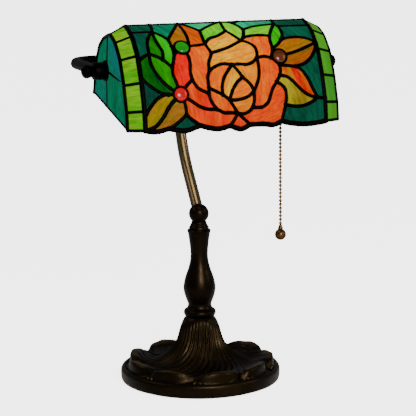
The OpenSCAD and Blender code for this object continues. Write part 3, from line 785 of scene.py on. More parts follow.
@dataclass
class Workshop:
    """Places finished pieces on the frame."""

    finishes: Finishes
    count: int = 0

    def fit(
        self, obj: bpy.types.Object, finish: str, slot: str, body: Body, nodes: Iterable[str] = ()
    ) -> bpy.types.Object:
        """Finishes one piece and lets it ride on its body.

        Args:
            obj: the piece, in the frame's axes and metres.
            finish: the name of its finish.
            slot: the name of a material slot; not used.
            body: the body that it moves with.
            nodes: the solid nodes that it stands for.

        Returns:
            The same object.
        """
        self.finishes.paint(obj, finish)
        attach(obj, body.value)
        if nodes:
            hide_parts(*nodes)
        self.count += 1
        faces = len(obj.data.polygons)
        LOG.info("%02d %s: %d faces, %s, on %s", self.count, obj.name, faces, finish, body.value)
        return obj


# ---------------------------------------------------------------- the shade's surface


@dataclass(frozen=True)
class Profile:
    """The shade's two rails: the main panel's side seams, and the end panels' outer edges."""

    main: tuple[Point, ...] = (
        (-127, 308.5), (-125, 328), (-116, 357.5), (-103, 385), (-84, 404), (-61, 414), (-33, 407),
        (-14, 396), (-1, 378), (13.5, 336),
    )
    panel_half: float = 101.5
    shade_half: float = 119.0
    bevel_in: float = 8.0
    soften: float = 0.22

    @property
    def facets(self) -> int:
        """Number of flat facets from hem to hem."""
        return len(self.main) - 1

    def length(self, k: int) -> float:
        """Length of facet k."""
        (y0, z0), (y1, z1) = self.main[k], self.main[k + 1]
        return math.hypot(y1 - y0, z1 - z0)

    def along(self, v: float) -> float:
        """Turns a distance up the profile into a facet position.

        Args:
            v: millimetres from the front hem.

        Returns:
            The facet's number and the share of it, as one number.
        """
        k = 0
        while k < self.facets - 1 and v > self.length(k):
            v -= self.length(k)
            k += 1
        return k + v / self.length(k)

    def _dir(self, k: int) -> Vector:
        """The direction of facet k."""
        a, b = self.main[k], self.main[k + 1]
        return Vector((b[0] - a[0], b[1] - a[1])).normalized()

    def outer(self) -> list[Vector]:
        """The end panel's corners: the profile moved in by the bevel.

        Returns:
            One (y, z) point for each corner.
        """
        out = []
        for k in range(self.facets + 1):
            before, after = self._dir(max(0, k - 1)), self._dir(min(self.facets - 1, k))
            n0, n1 = Vector((before[1], -before[0])), Vector((after[1], -after[0]))
            move = (n0 + n1) * (self.bevel_in / (1 + n0.dot(n1)))
            p = Vector(self.main[k]) + move
            if k in (0, self.facets):
                d = after if k == 0 else before
                p = p + d * ((self.main[k][1] - p[1]) / d[1])
            out.append(p)
        return out

    def _at(self, rail: Sequence[Sequence[float]], w: float) -> Vector:
        """A point of an unsoftened rail.

        Args:
            rail: the rail's corners.
            w: facet position.

        Returns:
            The point's y and z.
        """
        n = len(rail) - 1
        k = max(0, min(n - 1, int(math.floor(w))))
        a, b = Vector(rail[k]), Vector(rail[k + 1])
        return a + (b - a) * (w - k)

    def rail(self, w: float, outer: bool = False) -> Vector:
        """A point of a rail, with its folds softened.

        Args:
            w: facet position.
            outer: whether it is the end panel's rail.

        Returns:
            The point's y and z.
        """
        rail = self.outer() if outer else self.main
        taps = (self._at(rail, w + self.soften * t) for t in (-1.0, -0.5, 0.0, 0.5, 1.0))
        return sum(taps, Vector((0, 0))) / 5

    def slope(self, w: float) -> Vector:
        """The main rail's direction at facet position w."""
        return self.rail(w + 0.05) - self.rail(w - 0.05)

    def flat(self, x: float, w: float, depth: float = 0.0) -> Vector:
        """A point on the main panel.

        Args:
            x: place across the panel.
            w: facet position.
            depth: millimetres inside the outer face.

        Returns:
            The point, in millimetres.
        """
        p = self.rail(w)
        d = self.slope(w).normalized()
        return Vector((x, p[0] + d[1] * depth, p[1] - d[0] * depth))

    def normal(self, w: float) -> Vector:
        """The main panel's outward direction."""
        d = self.slope(w).normalized()
        return Vector((0, -d[1], d[0]))

    def border(self, side: Side, u: float, w: float, depth: float = 0.0) -> Vector:
        """A point on the slanting border.

        Args:
            side: which end.
            u: 0 at the panel to 1 at the end panel.
            w: facet position.
            depth: millimetres inside the outer face.

        Returns:
            The point, in millimetres.
        """
        a, b = self.rail(w), self.rail(w, outer=True)
        p = a + (b - a) * u
        x = self.panel_half + (self.shade_half - self.panel_half) * u
        return Vector((side.value * x, p[0], p[1])) - self.border_normal(side, w) * depth

    def border_normal(self, side: Side, w: float) -> Vector:
        """The border's outward direction.

        Args:
            side: which end.
            w: facet position.

        Returns:
            A vector of length 1.
        """
        d = self.slope(w)
        a, b = self.rail(w), self.rail(w, outer=True)
        run = Vector((self.shade_half - self.panel_half, b[0] - a[0], b[1] - a[1]))
        n = run.cross(Vector((0, d[0], d[1]))).normalized()
        return Vector((n.x * side.value, n.y, n.z))


@dataclass(frozen=True)
class Pane:
    """One piece of glass: its joints, two colours and the way its streaks run."""

    kind: str
    ring: str
    tint: Colour
    blush: Colour
    flow: float = 90.0


JOINTS: dict[str, Point] = {
    "b0": (-101.5, 0), "b1": (-76, 1), "b2": (-41, 2.5), "b3": (-8, 0.5), "b4": (14.5, 0.5),
    "b5": (50.5, 2.5), "b6": (101.5, 0), "l1": (-101.5, 14), "l2": (-101.5, 56), "l3": (-101.5, 74),
    "l4": (-101.5, 114.5), "l5": (-101.5, 133), "r1": (101.5, 24), "r2": (101.5, 88.5),
    "r3": (101.5, 116.5), "r4": (101.5, 133), "t1": (-75.5, 133), "t2": (-43.5, 133),
    "t3": (4.5, 133), "t4": (25, 133), "t5": (64, 133), "ruby": (-60.5, 36.2), "emerald": (-51, 89),
    "amber": (55.8, 72.9), "c1": (-74, 36.5), "c2": (-56, 14.5), "d1": (-88.5, 82.5),
    "e1": (-77.5, 114.5), "e2": (-75, 75), "e3": (-63.5, 100.5), "f1": (-24.3, 92.5),
    "f2": (-42.2, 90.7), "g1": (-61.3, 81), "g2": (-61.8, 91), "g4": (3.7, 111), "g5": (-25, 113),
    "g6": (24.5, 112.3), "g7": (20.8, 99.3), "q1": (17.5, 126.5), "h1": (51, 100.5),
    "h2": (63.2, 122), "h3": (62.8, 94.3), "h4": (66.2, 116.8), "a2": (50, 83), "a3": (54.3, 62.8),
    "k1": (48, 44.5), "k2": (55.5, 19), "k3": (52.8, 51.5), "kt": (93, 25.8), "lt": (72, 60.8),
    "m0": (-66, 65.5), "m1": (-22.5, 18.2), "m2": (-29.5, 36), "m3": (-46, 51), "m4": (-28.5, 41.5),
    "m5": (-14, 33.7), "m6": (-7, 28), "m7": (-20, 80.8), "m8": (-25.5, 60.5), "m9": (17, 95.3),
    "n1": (1, 13), "n2": (18.3, 18.3), "n3": (21, 35.5), "n4": (10.3, 51.5), "n5": (0.8, 66),
    "n6": (30, 72.5), "n7": (46, 71.8),
}

# The points that a seam bends through on its way from one joint to another.
SEAMS: dict[tuple[str, str], list[Point]] = {
    ("b0", "b1"): [(-89, -1.5)],
    ("b1", "b2"): [(-58, -2)],
    ("b2", "b3"): [(-31, -0.5), (-20, -2)],
    ("b3", "b4"): [(4, -3.5)],
    ("b4", "b5"): [(22, 0.5), (31, 0.3), (41, -1)],
    ("b5", "b6"): [(60, 0), (75, -2), (90, -1.5)],
    ("l1", "c1"): [(-96, 22.5), (-88, 31.5), (-80, 36)],
    ("l2", "c1"): [(-96, 49.5), (-88, 42.5), (-81, 38.5)],
    ("l3", "d1"): [(-95, 79.5)],
    ("b0", "ruby"): [(-91, 3.5), (-84, 10), (-78, 18), (-71, 27.5)],
    ("ruby", "c2"): [(-57, 26)],
    ("c2", "b1"): [(-64, 8), (-70, 4)],
    ("c2", "b2"): [(-50.5, 9)],
    ("d1", "ruby"): [(-89, 73), (-86, 63), (-80, 52.5), (-71, 43)],
    ("d1", "e2"): [(-82, 79.3)],
    ("e2", "m0"): [(-70, 70)],
    ("m0", "ruby"): [(-66.3, 58), (-64, 49.5)],
    ("d1", "e1"): [(-88.3, 90), (-87, 98), (-83, 107)],
    ("e1", "e2"): [(-78, 104), (-76, 94), (-73.7, 86), (-74, 79.5)],
    ("e1", "e3"): [(-70.5, 108)],
    ("g1", "m0"): [(-63.5, 73)],
    ("e1", "t1"): [(-75.3, 124)],
    ("e3", "t2"): [(-58, 109), (-52, 118.5), (-46.5, 127.5)],
    ("f2", "t2"): [(-41.8, 103), (-42.6, 117)],
    ("t2", "g5"): [(-35.5, 125), (-29, 118)],
    ("f2", "f1"): [(-33, 91.2)],
    ("emerald", "m3"): [(-46.6, 79), (-45.6, 70), (-46.8, 60)],
    ("m3", "ruby"): [(-50, 47.8), (-55, 43)],
    ("f1", "m7"): [(-22.3, 86.5)],
    ("m7", "m8"): [(-21.8, 76), (-25, 69)],
    ("m8", "m4"): [(-28.3, 54), (-28.8, 47)],
    ("m2", "m3"): [(-36, 39), (-41.5, 43)],
    ("m2", "m1"): [(-28.5, 30), (-26, 24)],
    ("m1", "ruby"): [(-33, 18.7), (-41, 22), (-48, 27.5)],
    ("m1", "n1"): [(-18.5, 16.5), (-14, 14.3), (-7, 14)],
    ("n1", "b3"): [(-3, 7)],
    ("n1", "b4"): [(8, 6.5)],
    ("n1", "n2"): [(8, 12.3), (13.5, 14.5)],
    ("n2", "k1"): [(25, 17.7), (31, 18.7), (36, 23), (39.5, 30.5), (43, 38)],
    ("k1", "k2"): [(53, 41.5), (57, 36), (57.3, 28)],
    ("k2", "b5"): [(52.5, 9.5)],
    ("n1", "m6"): [(-1.5, 17), (-4.5, 22.5)],
    ("m6", "n3"): [(0, 27.3), (8, 28.5), (15, 31)],
    ("n3", "n2"): [(20.7, 27)],
    ("m4", "m5"): [(-21.5, 37.8)],
    ("m8", "n5"): [(-19, 64.5), (-10, 67.3)],
    ("n5", "m5"): [(-5, 59.5), (-11, 51), (-13.8, 42)],
    ("n5", "n4"): [(6, 59)],
    ("n4", "m6"): [(3.5, 46.3), (-2, 39), (-5.3, 32)],
    ("n4", "n3"): [(15.5, 46.5), (19.5, 41)],
    ("n5", "n6"): [(9, 66.3), (17, 65.5), (24, 67.7)],
    ("n6", "n3"): [(30.3, 62), (28.5, 50.5), (24.5, 41.5)],
    ("m7", "m9"): [(-10, 83.3), (0, 86.6), (8, 90.5)],
    ("m9", "n6"): [(24.5, 92), (30, 86), (31, 79)],
    ("f1", "g4"): [(-18, 99.5), (-8, 103), (-1, 107.3)],
    ("g4", "m9"): [(9.5, 104)],
    ("f1", "g5"): [(-25, 102)],
    ("g5", "t3"): [(-15, 120.5), (-5, 127)],
    ("t3", "g4"): [(3.7, 121)],
    ("t3", "q1"): [(12, 130.5)],
    ("q1", "g6"): [(22, 119.5)],
    ("g6", "g7"): [(22.7, 105)],
    ("g6", "h2"): [(34, 117), (45, 119.8), (55, 121)],
    ("h2", "h1"): [(56.5, 111)],
    ("g7", "h1"): [(30, 101.5), (41, 101.8)],
    ("h1", "a2"): [(49.8, 92)],
    ("a2", "n7"): [(48, 77)],
    ("n7", "n6"): [(38, 73.7)],
    ("h4", "h3"): [(66.6, 106), (65.5, 99)],
    ("h3", "a2"): [(57.5, 88.3)],
    ("h3", "r2"): [(70, 96.5), (83, 97), (94, 94)],
    ("r2", "amber"): [(88, 82.8), (75, 77.8), (66, 75.5)],
    ("r2", "lt"): [(97, 77.5), (90.5, 69), (82, 63.3)],
    ("lt", "a3"): [(62, 62.3)],
    ("n7", "a3"): [(50.8, 68)],
    ("a3", "k3"): [(54.3, 57)],
    ("lt", "kt"): [(78.5, 56.5), (84.5, 46.5), (88.5, 36)],
    ("kt", "k3"): [(86, 27.5), (79, 31.5), (72, 38.5), (65.5, 46), (59.5, 50.3)],
    ("kt", "k2"): [(85, 20), (75, 17.2), (65, 17.3)],
}

RED, CORAL, ORANGE, APRICOT = (255, 70, 40), (255, 100, 52), (255, 136, 60), (255, 166, 70)
GOLD, YELLOW, ROSE = (255, 196, 60), (255, 228, 60), (255, 76, 92)
# SHEEN_MINT is the top row's teal with a painted sheen on it
DEEP, TEAL, SEA, SHEEN_MINT = (8, 74, 56), (18, 112, 80), (34, 160, 110), (58, 206, 138)
PANES: tuple[Pane, ...] = (
    Pane("autumn", "b0 l1 c1 ruby", (150, 168, 40), (196, 126, 66), 50),
    Pane("autumn", "b0 ruby c2 b1", (150, 144, 50), (190, 112, 62), 35),
    Pane("autumn", "e3 t2 f2 emerald g2", (196, 126, 58), (150, 120, 44), 75),
    Pane("autumn", "f2 t2 g5 f1", (244, 138, 60), (196, 94, 40), 110),
    Pane("autumn", "a2 h3 r2 amber", (206, 96, 44), (176, 142, 48), 20),
    Pane("autumn", "amber r2 lt a3", (200, 106, 52), (140, 118, 44), 20),
    Pane("autumn", "a3 lt kt k3", (190, 196, 60), (236, 84, 50), 130),
    Pane("autumn", "k3 kt k2 k1", (184, 190, 62), (150, 128, 48), 140),
    Pane("green", "c1 l2 l3 d1 ruby", (30, 134, 24), (14, 96, 26), 120),
    Pane("green", "d1 e2 m0 ruby", (62, 184, 26), (34, 138, 24), 120),
    Pane("green", "d1 e1 e2", (40, 158, 26), (24, 120, 28), 90),
    Pane("green", "e1 e3 g2 g1 m0 e2", (76, 226, 30), (52, 186, 26), 105),
    Pane("bright", "f1 g5 t3 g4", (160, 248, 54), (96, 220, 40), 45),
    Pane("bright", "g4 t3 q1 g6 g7 m9", (104, 244, 40), (180, 252, 70), 80),
    Pane("bright", "g7 g6 h2 h1", (112, 242, 36), (170, 250, 60), 10),
    Pane("bright", "h1 h2 h4 h3 a2", (92, 232, 32), (60, 196, 30), 70),
    Pane("petal", "ruby m0 g1 emerald m3", CORAL, (255, 84, 56), 90),
    Pane("petal", "ruby m3 m2 m1", ORANGE, CORAL, 140),
    Pane("petal", "b2 c2 ruby m1 n1 b3", RED, ORANGE, 150),
    Pane("petal", "b3 n1 b4", ORANGE, RED, 90),
    Pane("petal", "n1 n2 k1 k2 b5 b4", ORANGE, CORAL, 30),
    Pane("petal", "m3 emerald f2 f1 m7 m8 m4 m2", APRICOT, CORAL, 95),
    Pane("petal", "m7 f1 g4 m9", YELLOW, (255, 140, 60), 20),
    Pane("petal", "m9 g7 h1 a2 n7 n6", APRICOT, (255, 112, 84), 60),
    Pane("petal", "n2 n3 n6 n7 a3 k3 k1", (255, 150, 66), (255, 110, 88), 75),
    Pane("heart", "m8 m7 m9 n6 n5", YELLOW, (255, 160, 50), 15),
    Pane("heart", "m4 m8 n5 m5", APRICOT, (255, 118, 74), 60),
    Pane("heart", "m2 m4 m5 m6 n1 m1", ROSE, APRICOT, 130),
    Pane("heart", "m5 n5 n4 m6", YELLOW, (255, 150, 50), 60),
    Pane("heart", "m6 n4 n3", GOLD, ORANGE, 20),
    Pane("heart", "n5 n6 n3 n4", (255, 200, 74), (255, 108, 92), 120),
    Pane("heart", "n1 m6 n3 n2", ORANGE, GOLD, 10),
    Pane("teal", "l1 l2 c1", DEEP, TEAL), Pane("teal", "b1 c2 b2", TEAL, DEEP),
    Pane("teal", "l3 l4 e1 d1", DEEP, TEAL), Pane("teal", "l4 l5 t1 e1", TEAL, DEEP),
    # the top row's teal is painted paler, mint and light cyan: a painted sheen on the top seen
    # edge-on
    Pane("teal", "e1 t1 t2 e3", SEA, TEAL), Pane("teal", "t2 t3 g5", SHEEN_MINT, SEA),
    Pane("teal", "t3 t4 q1", (60, 190, 200), SEA), Pane("teal", "q1 t4 t5 h2 g6", SEA, SHEEN_MINT),
    Pane("teal", "h2 t5 r4 r3 h4", TEAL, DEEP), Pane("teal", "h4 r3 r2 h3", DEEP, TEAL),
    Pane("teal", "lt r2 r1 kt", DEEP, TEAL), Pane("teal", "k2 kt r1 b6 b5", TEAL, DEEP),
)
GLASS_SLOTS = {
    "autumn": ("autumn_leaf_glass", "autumn_leaf_panes"),
    "green": ("green_leaf_glass", "green_leaf_panes"),
    "bright": ("bright_leaf_glass", "bright_leaf_panes"),
    "petal": ("petal_glass", "petal_panes"),
    "heart": ("heart_glass", "heart_panes"),
    "teal": ("background_glass", "background_panes"),
}


@dataclass(frozen=True)
class Jewel:
    """A pressed glass jewel on the front panel, at the joint of its name."""

    name: str
    tint: Colour
    blush: Colour
    radius: float


JEWELS: tuple[Jewel, ...] = (
    Jewel("ruby", (244, 10, 20), (190, 0, 10), 7.1),
    Jewel("emerald", (8, 160, 26), (2, 96, 14), 7.4),
    Jewel("amber", (128, 62, 22), (70, 30, 10), 7.1),
)


def seam(a: str, b: str, step: float = 2.0) -> list[Vector]:
    """The line of one seam.

    Args:
        a: the joint that it starts from.
        b: the joint that it ends at.
        step: about how far apart its points are.

    Returns:
        Its points, as x and the distance up the profile.
    """
    if (a, b) in SEAMS:
        middle = SEAMS[(a, b)]
    else:
        middle = list(reversed(SEAMS.get((b, a), [])))
    return curve([JOINTS[a], *middle, JOINTS[b]], step)


@dataclass
class GlassCutter:
    """Cuts flat outlines into glass and bends them onto the shade."""

    rng: random.Random = field(default_factory=lambda: random.Random(7))

    def pane(
        self, name: str, outline: Sequence[Vector], tint: Colour, blush: Colour, flow: float
    ) -> bpy.types.Object:
        """One flat pane.

        Args:
            name: the object's name.
            outline: its edge, as flat points in millimetres.
            tint: first colour.
            blush: second colour, in streaks.
            flow: direction of the streaks, in degrees.

        Returns:
            A flat mesh in millimetres, carrying its colours.
        """
        mesh = bpy.data.meshes.new(name)
        mesh.from_pydata([(p[0], p[1], 0.0) for p in outline], [], [list(range(len(outline)))])
        angle = math.radians(flow)
        values = {
            "tint": lit(tint),
            "blush": lit(blush),
            "flow": (math.cos(angle), math.sin(angle), self.rng.random(), 1.0),
        }
        for key, value in values.items():
            layer = mesh.color_attributes.new(name=key, type="FLOAT_COLOR", domain="CORNER")
            for item in layer.data:
                item.color = value
        obj = bpy.data.objects.new(name, mesh)
        bpy.context.collection.objects.link(obj)
        return obj

    def bend(
        self, name: str, flats: Sequence[bpy.types.Object], cuts: Iterable[float], place: Place
    ) -> bpy.types.Object:
        """Joins flat panes, cuts them across, bends them and gives them thickness.

        Args:
            name: the object's name.
            flats: the flat panes.
            cuts: levels of v at which the faces are split, so that they can bend.
            place: gives the point on the shade, in millimetres, for flat x and v.

        Returns:
            The finished glass.
        """
        obj = join(name, flats)
        activate(obj)
        bpy.ops.object.mode_set(mode="EDIT")
        bpy.ops.mesh.select_all(action="SELECT")
        bpy.ops.mesh.quads_convert_to_tris(quad_method="BEAUTY", ngon_method="BEAUTY")
        for v in cuts:
            bpy.ops.mesh.select_all(action="SELECT")
            bpy.ops.mesh.bisect(plane_co=(0, v, 0), plane_no=(0, 1, 0))
        bpy.ops.object.mode_set(mode="OBJECT")
        for vert in obj.data.vertices:
            vert.co = place(vert.co.x, vert.co.y) * MM
        solid = obj.modifiers.new("thickness", "SOLIDIFY")
        solid.thickness = GLASS_T * MM
        solid.offset = -1
        activate(obj)
        bpy.ops.object.modifier_apply(modifier=solid.name)
        return smooth(obj, 30)


@dataclass
class FrontPanel:
    """The main panel: a rose among leaves, in lead came."""

    profile: Profile
    came_r: float = 2.5
    came_depth: float = 1.9
    hem: float = 1.25
    rim: float = 1.1
    bends: int = 44

    def build(self, shop: Workshop) -> None:
        """Adds the panes, the came and the jewels.

        Args:
            shop: where finished pieces go.
        """
        cutter = GlassCutter()
        top = sum(self.profile.length(k) for k in range(RIDGE))
        levels = [top * i / self.bends for i in range(self.bends + 1)]

        def place(x: float, v: float) -> Vector:
            """The point of the glass, v millimetres up the profile."""
            return self.profile.flat(x, self.profile.along(v), GLASS_IN)

        for kind, (slot, node) in GLASS_SLOTS.items():
            flats = []
            for i, p in enumerate(p for p in PANES if p.kind == kind):
                outline = [q for a, b in self.sides(p) for q in seam(a, b)[:-1]]
                if signed_area(outline) < 0:
                    outline.reverse()
                flats.append(cutter.pane(f"{kind}_{i}", outline, p.tint, p.blush, p.flow))
            glass = cutter.bend(f"{kind}_glass", flats, levels, place)
            shop.fit(glass, "panel_glass", slot, Body.SHADE, [node])
        self.came(shop)
        for jewel in JEWELS:
            self.jewel(shop, jewel)

    @staticmethod
    def sides(pane: Pane) -> list[tuple[str, str]]:
        """The pairs of joints round a pane."""
        names = pane.ring.split()
        return list(zip(names, names[1:] + names[:1]))

    def weight(self, a: str, b: str) -> float:
        """How heavy the came of one seam is.

        Args:
            a: one joint of the seam.
            b: its other joint.

        Returns:
            A share of the plain seam's radius.
        """
        edge = [name[0] for name in (a, b) if name[0] in "blrt" and name[1:].isdigit()]
        if edge == ["b", "b"]:
            return self.hem
        return self.rim if len(edge) == 2 or {a, b} == {"ruby", "b0"} else 1.0

    def came(self, shop: Workshop) -> None:
        """Adds the rounded, soldered seams.

        Args:
            shop: where finished pieces go.
        """
        seams: dict[frozenset[str], tuple[str, str]] = {}
        for p in PANES:
            for a, b in self.sides(p):
                seams.setdefault(frozenset((a, b)), (a, b))
        rng = random.Random(3)
        made = []
        for a, b in seams.values():
            path, ups, radii = [], [], []
            for q in seam(a, b, 1.6):
                w = self.profile.along(q.y)
                path.append(self.profile.flat(q.x, w, self.came_depth))
                ups.append(self.profile.normal(w))
                radii.append(self.came_r * self.weight(a, b) * rng.uniform(0.95, 1.06))
            made.append(lead(path, radii, ups))
        jewelled = {jewel.name for jewel in JEWELS}
        for name, (x, v) in JOINTS.items():
            if name not in jewelled:
                spot = self.profile.flat(x, self.profile.along(v), self.came_depth)
                made.append(solder(spot, self.came_r * 1.28))
        lines = join("front_came_lines", made)
        shop.fit(lines, "came_patina", "came", Body.SHADE, ["front_came"])

    def jewel(self, shop: Workshop, jewel: Jewel) -> None:
        """Adds one jewel in its ring.

        Args:
            shop: where finished pieces go.
            jewel: the jewel.
        """
        r, wall, crown = jewel.radius, 2.2, 2.9
        x, v = JOINTS[jewel.name]
        w = self.profile.along(v)
        axis = self.profile.normal(w)
        steps = [t * math.pi / 16 for t in range(1, 8)]
        dome = [(0.0, 0.0), (r, 0.0), (r, wall)]
        dome += [(r * math.cos(t), wall + crown * math.sin(t)) for t in steps]
        dome += [(0.0, wall + crown)]
        gem = revolve(f"{jewel.name}_gem", dome, 48, self.profile.flat(x, w, 2.8), axis, 50)
        values = {
            "tint": linear(jewel.tint),
            "blush": linear(jewel.blush),
            "flow": (1.0, 0.0, v / 200, 1.0),
        }
        for key, value in values.items():
            layer = gem.data.color_attributes.new(name=key, type="FLOAT_COLOR", domain="CORNER")
            for item in layer.data:
                item.color = value
        node = f"{jewel.name}_jewel"
        shop.fit(gem, "jewel_glass", f"{jewel.name}_glass", Body.SHADE, [node])
        turn = axis.to_track_quat("Z", "Y")
        seat = self.profile.flat(x, w, 0.75)
        reach = r + 0.9
        angles = [2 * math.pi * i / 48 for i in range(48)]
        path = [seat + turn @ Vector((reach * math.cos(a), reach * math.sin(a), 0)) for a in angles]
        band = sweep(f"{jewel.name}_ring", path, 1.5, 10, 1.0, [axis] * 48, closed=True)
        shop.fit(band, "came_patina", "came", Body.SHADE)


@dataclass
class BackPanel:
    """The back of the shade: plain panes in rows."""

    profile: Profile
    lines: tuple[float, ...] = (-101.5, -75.5, -43.5, 4.5, 25.0, 64.0, 101.5)
    came_r: float = 1.65
    came_depth: float = 1.35
    hem: float = 1.2
    taps: tuple[float, ...] = (-101.5, -50.0, 0.0, 50.0, 101.5)

    def build(self, shop: Workshop) -> None:
        """Adds the back glass and its came.

        Args:
            shop: where finished pieces go.
        """
        n = self.profile.facets
        cutter = GlassCutter(random.Random(11))
        flats = []
        for k in range(RIDGE, n):
            for c, (x0, x1) in enumerate(zip(self.lines, self.lines[1:])):
                corners = ((x0, k), (x1, k), (x1, k + 1), (x0, k + 1))
                tint, blush = (SEA, TEAL) if 0 < c < 5 and k < 8 else (TEAL, DEEP)
                outline = [Vector(p) for p in corners]
                flats.append(cutter.pane(f"back_{k}_{c}", outline, tint, blush, 90))
        levels = [RIDGE + i / 6 for i in range(1, 6 * (n - RIDGE))]
        glass = cutter.bend(
            "back_glass", flats, levels, lambda x, w: self.profile.flat(x, w, GLASS_IN)
        )
        shop.fit(glass, "panel_glass", "background_glass", Body.SHADE, ["back_panes"])
        made = []
        heights = [RIDGE + (n - RIDGE) * i / 60 for i in range(61)]
        ups = [self.profile.normal(w) for w in heights]
        for x in self.lines:
            path = [self.profile.flat(x, w, self.came_depth) for w in heights]
            made.append(lead(path, self.came_r, ups))
        for k in range(RIDGE + 1, n + 1):
            path = [self.profile.flat(x, k, self.came_depth) for x in self.taps]
            r = self.came_r * (self.hem if k == n else 1.0)
            made.append(lead(path, r, [self.profile.normal(k)] * len(path)))
            made += [solder(self.profile.flat(x, k, self.came_depth), r * 1.25) for x in self.lines]
        lines = join("back_came_lines", made)
        shop.fit(lines, "came_patina", "came", Body.SHADE, ["back_came"])


@dataclass
class Borders:
    """The slanting rows of green squares at both ends of the panel."""

    profile: Profile
    came_r: float = 1.9
    rail_r: float = 2.1
    # the right row is tinted darker than the left: painted shade on the far end
    left: tuple[Colour, Colour] = ((84, 194, 44), (156, 222, 78))
    right: tuple[Colour, Colour] = ((64, 164, 50), (112, 192, 70))

    def build(self, shop: Workshop) -> None:
        """Adds border glass and came, left and right."""
        for side in Side:
            self.one(shop, side)

    def one(self, shop: Workshop, side: Side) -> None:
        """Adds one border.

        Args:
            shop: where finished pieces go.
            side: which end.
        """
        prof, n = self.profile, self.profile.facets
        word = side.name.lower()
        tint, blush = self.left if side is Side.LEFT else self.right
        cutter = GlassCutter(random.Random(20 + side.value))
        flats = []
        for k in range(n):
            square = [Vector(p) for p in ((0, k), (1, k), (1, k + 1), (0, k + 1))]
            if side is Side.LEFT:
                square.reverse()
            flow = 0 if side is Side.LEFT else 175
            flats.append(cutter.pane(f"border_{k}", square, tint, blush, flow))
        levels = [i / 6 for i in range(1, 6 * n)]
        glass = cutter.bend(
            f"border_glass_{word}", flats, levels, lambda u, w: prof.border(side, u, w, GLASS_IN)
        )
        shop.fit(glass, "border_glass", "border_glass", Body.SHADE, [f"border_panes_{word}"])
        made = []
        heights = [n * i / 130 for i in range(131)]
        ups = [prof.border_normal(side, w) for w in heights]
        for u in (0.0, 1.0):
            path = [prof.border(side, u, w, 1.45) for w in heights]
            made.append(sweep("rail", path, self.rail_r, 12, 0.95, ups))
        for k in range(n + 1):
            path = [prof.border(side, u, k, 1.35) for u in (0.0, 0.5, 1.0)]
            made.append(lead(path, self.came_r, [prof.border_normal(side, k)] * 3))
            made += [solder(prof.border(side, u, k, 1.4), self.rail_r) for u in (0.0, 1.0)]
        lines = join(f"border_came_lines_{word}", made)
        shop.fit(lines, "came_patina", "came", Body.SHADE, [f"border_came_{word}"])


@dataclass
class EndPanels:
    """The two flat end panels and their came."""

    profile: Profile
    hole_r: float = 8.5
    came_r: float = 1.7
    hem_r: float = 1.8
    even: tuple[Colour, Colour] = ((18, 122, 88), (26, 116, 116))
    odd: tuple[Colour, Colour] = ((12, 100, 70), (30, 140, 100))
    flows: tuple[float, ...] = (70, 110, 60, 120)

    def build(self, shop: Workshop) -> None:
        """Adds both ends."""
        for side in Side:
            self.one(shop, side)

    def one(self, shop: Workshop, side: Side) -> None:
        """Adds one end panel.

        Args:
            shop: where finished pieces go.
            side: which end.
        """
        prof = self.profile
        word = side.name.lower()
        corner = prof.outer()
        rails = [prof.rail(w, outer=True) for w in (i / 6 for i in range(6 * prof.facets + 1))]
        pivot = Vector(TILT_AXIS)
        top = corner[RIDGE] + Vector((8.4, -2.2))
        back = corner[8].lerp(corner[9], 0.3)
        low = corner[0].lerp(corner[9], 0.6)
        groups = (
            [top] + rails[30:11:-1] + [corner[2]],
            [corner[2]] + rails[12::-1] + [low],
            [low, corner[9], back],
            [back] + rails[48:30:-1] + [top],
        )
        cutter = GlassCutter(random.Random(31 + side.value))
        flats = []
        for i, edge in enumerate(groups):
            outline = list(edge) + self.hole(edge)
            if (signed_area(outline) < 0) == (side is Side.RIGHT):
                outline.reverse()
            tint, blush = self.even if i % 2 == 0 else self.odd
            flats.append(cutter.pane(f"end_{i}", outline, tint, blush, self.flows[i]))
        x = side.value * (prof.shade_half - GLASS_IN)
        glass = cutter.bend(f"end_glass_{word}", flats, (), lambda y, z: Vector((x, y, z)))
        shop.fit(glass, "end_glass", "end_glass", Body.SHADE, [f"end_panes_{word}"])
        out = Vector((side.value, 0, 0))
        xc = side.value * (prof.shade_half - 1.3)
        made = []
        for p in (top, corner[2], low, back):
            path = [Vector((xc, q.x, q.y)) for q in (pivot, pivot.lerp(p, 0.5), p)]
            made.append(lead(path, self.came_r, [out] * 3))
        bottom = [Vector((xc, *corner[0].lerp(corner[9], t / 8))) for t in range(9)]
        made.append(lead(bottom, self.hem_r, [out] * 9))
        lines = join(f"end_came_lines_{word}", made)
        shop.fit(lines, "came_patina", "came", Body.SHADE, [f"end_came_{word}"])

    def hole(self, edge: Sequence[Vector]) -> list[Vector]:
        """The part of the pivot hole's edge that one pane has.

        Args:
            edge: the pane's outer edge.

        Returns:
            The points round the hole, from the edge's end back to its start.
        """
        pivot = Vector(TILT_AXIS)
        first, last = (edge[0] - pivot).normalized(), (edge[-1] - pivot).normalized()
        a0, a1 = math.atan2(first.y, first.x), math.atan2(last.y, last.x)
        turn = (a1 - a0) % (2 * math.pi)
        angles = [a0 + turn * t / 8 for t in range(9)]
        arc = [pivot + Vector((math.cos(a), math.sin(a))) * self.hole_r for a in angles]
        return arc[::-1]


# ---------------------------------------------------------------- base and column


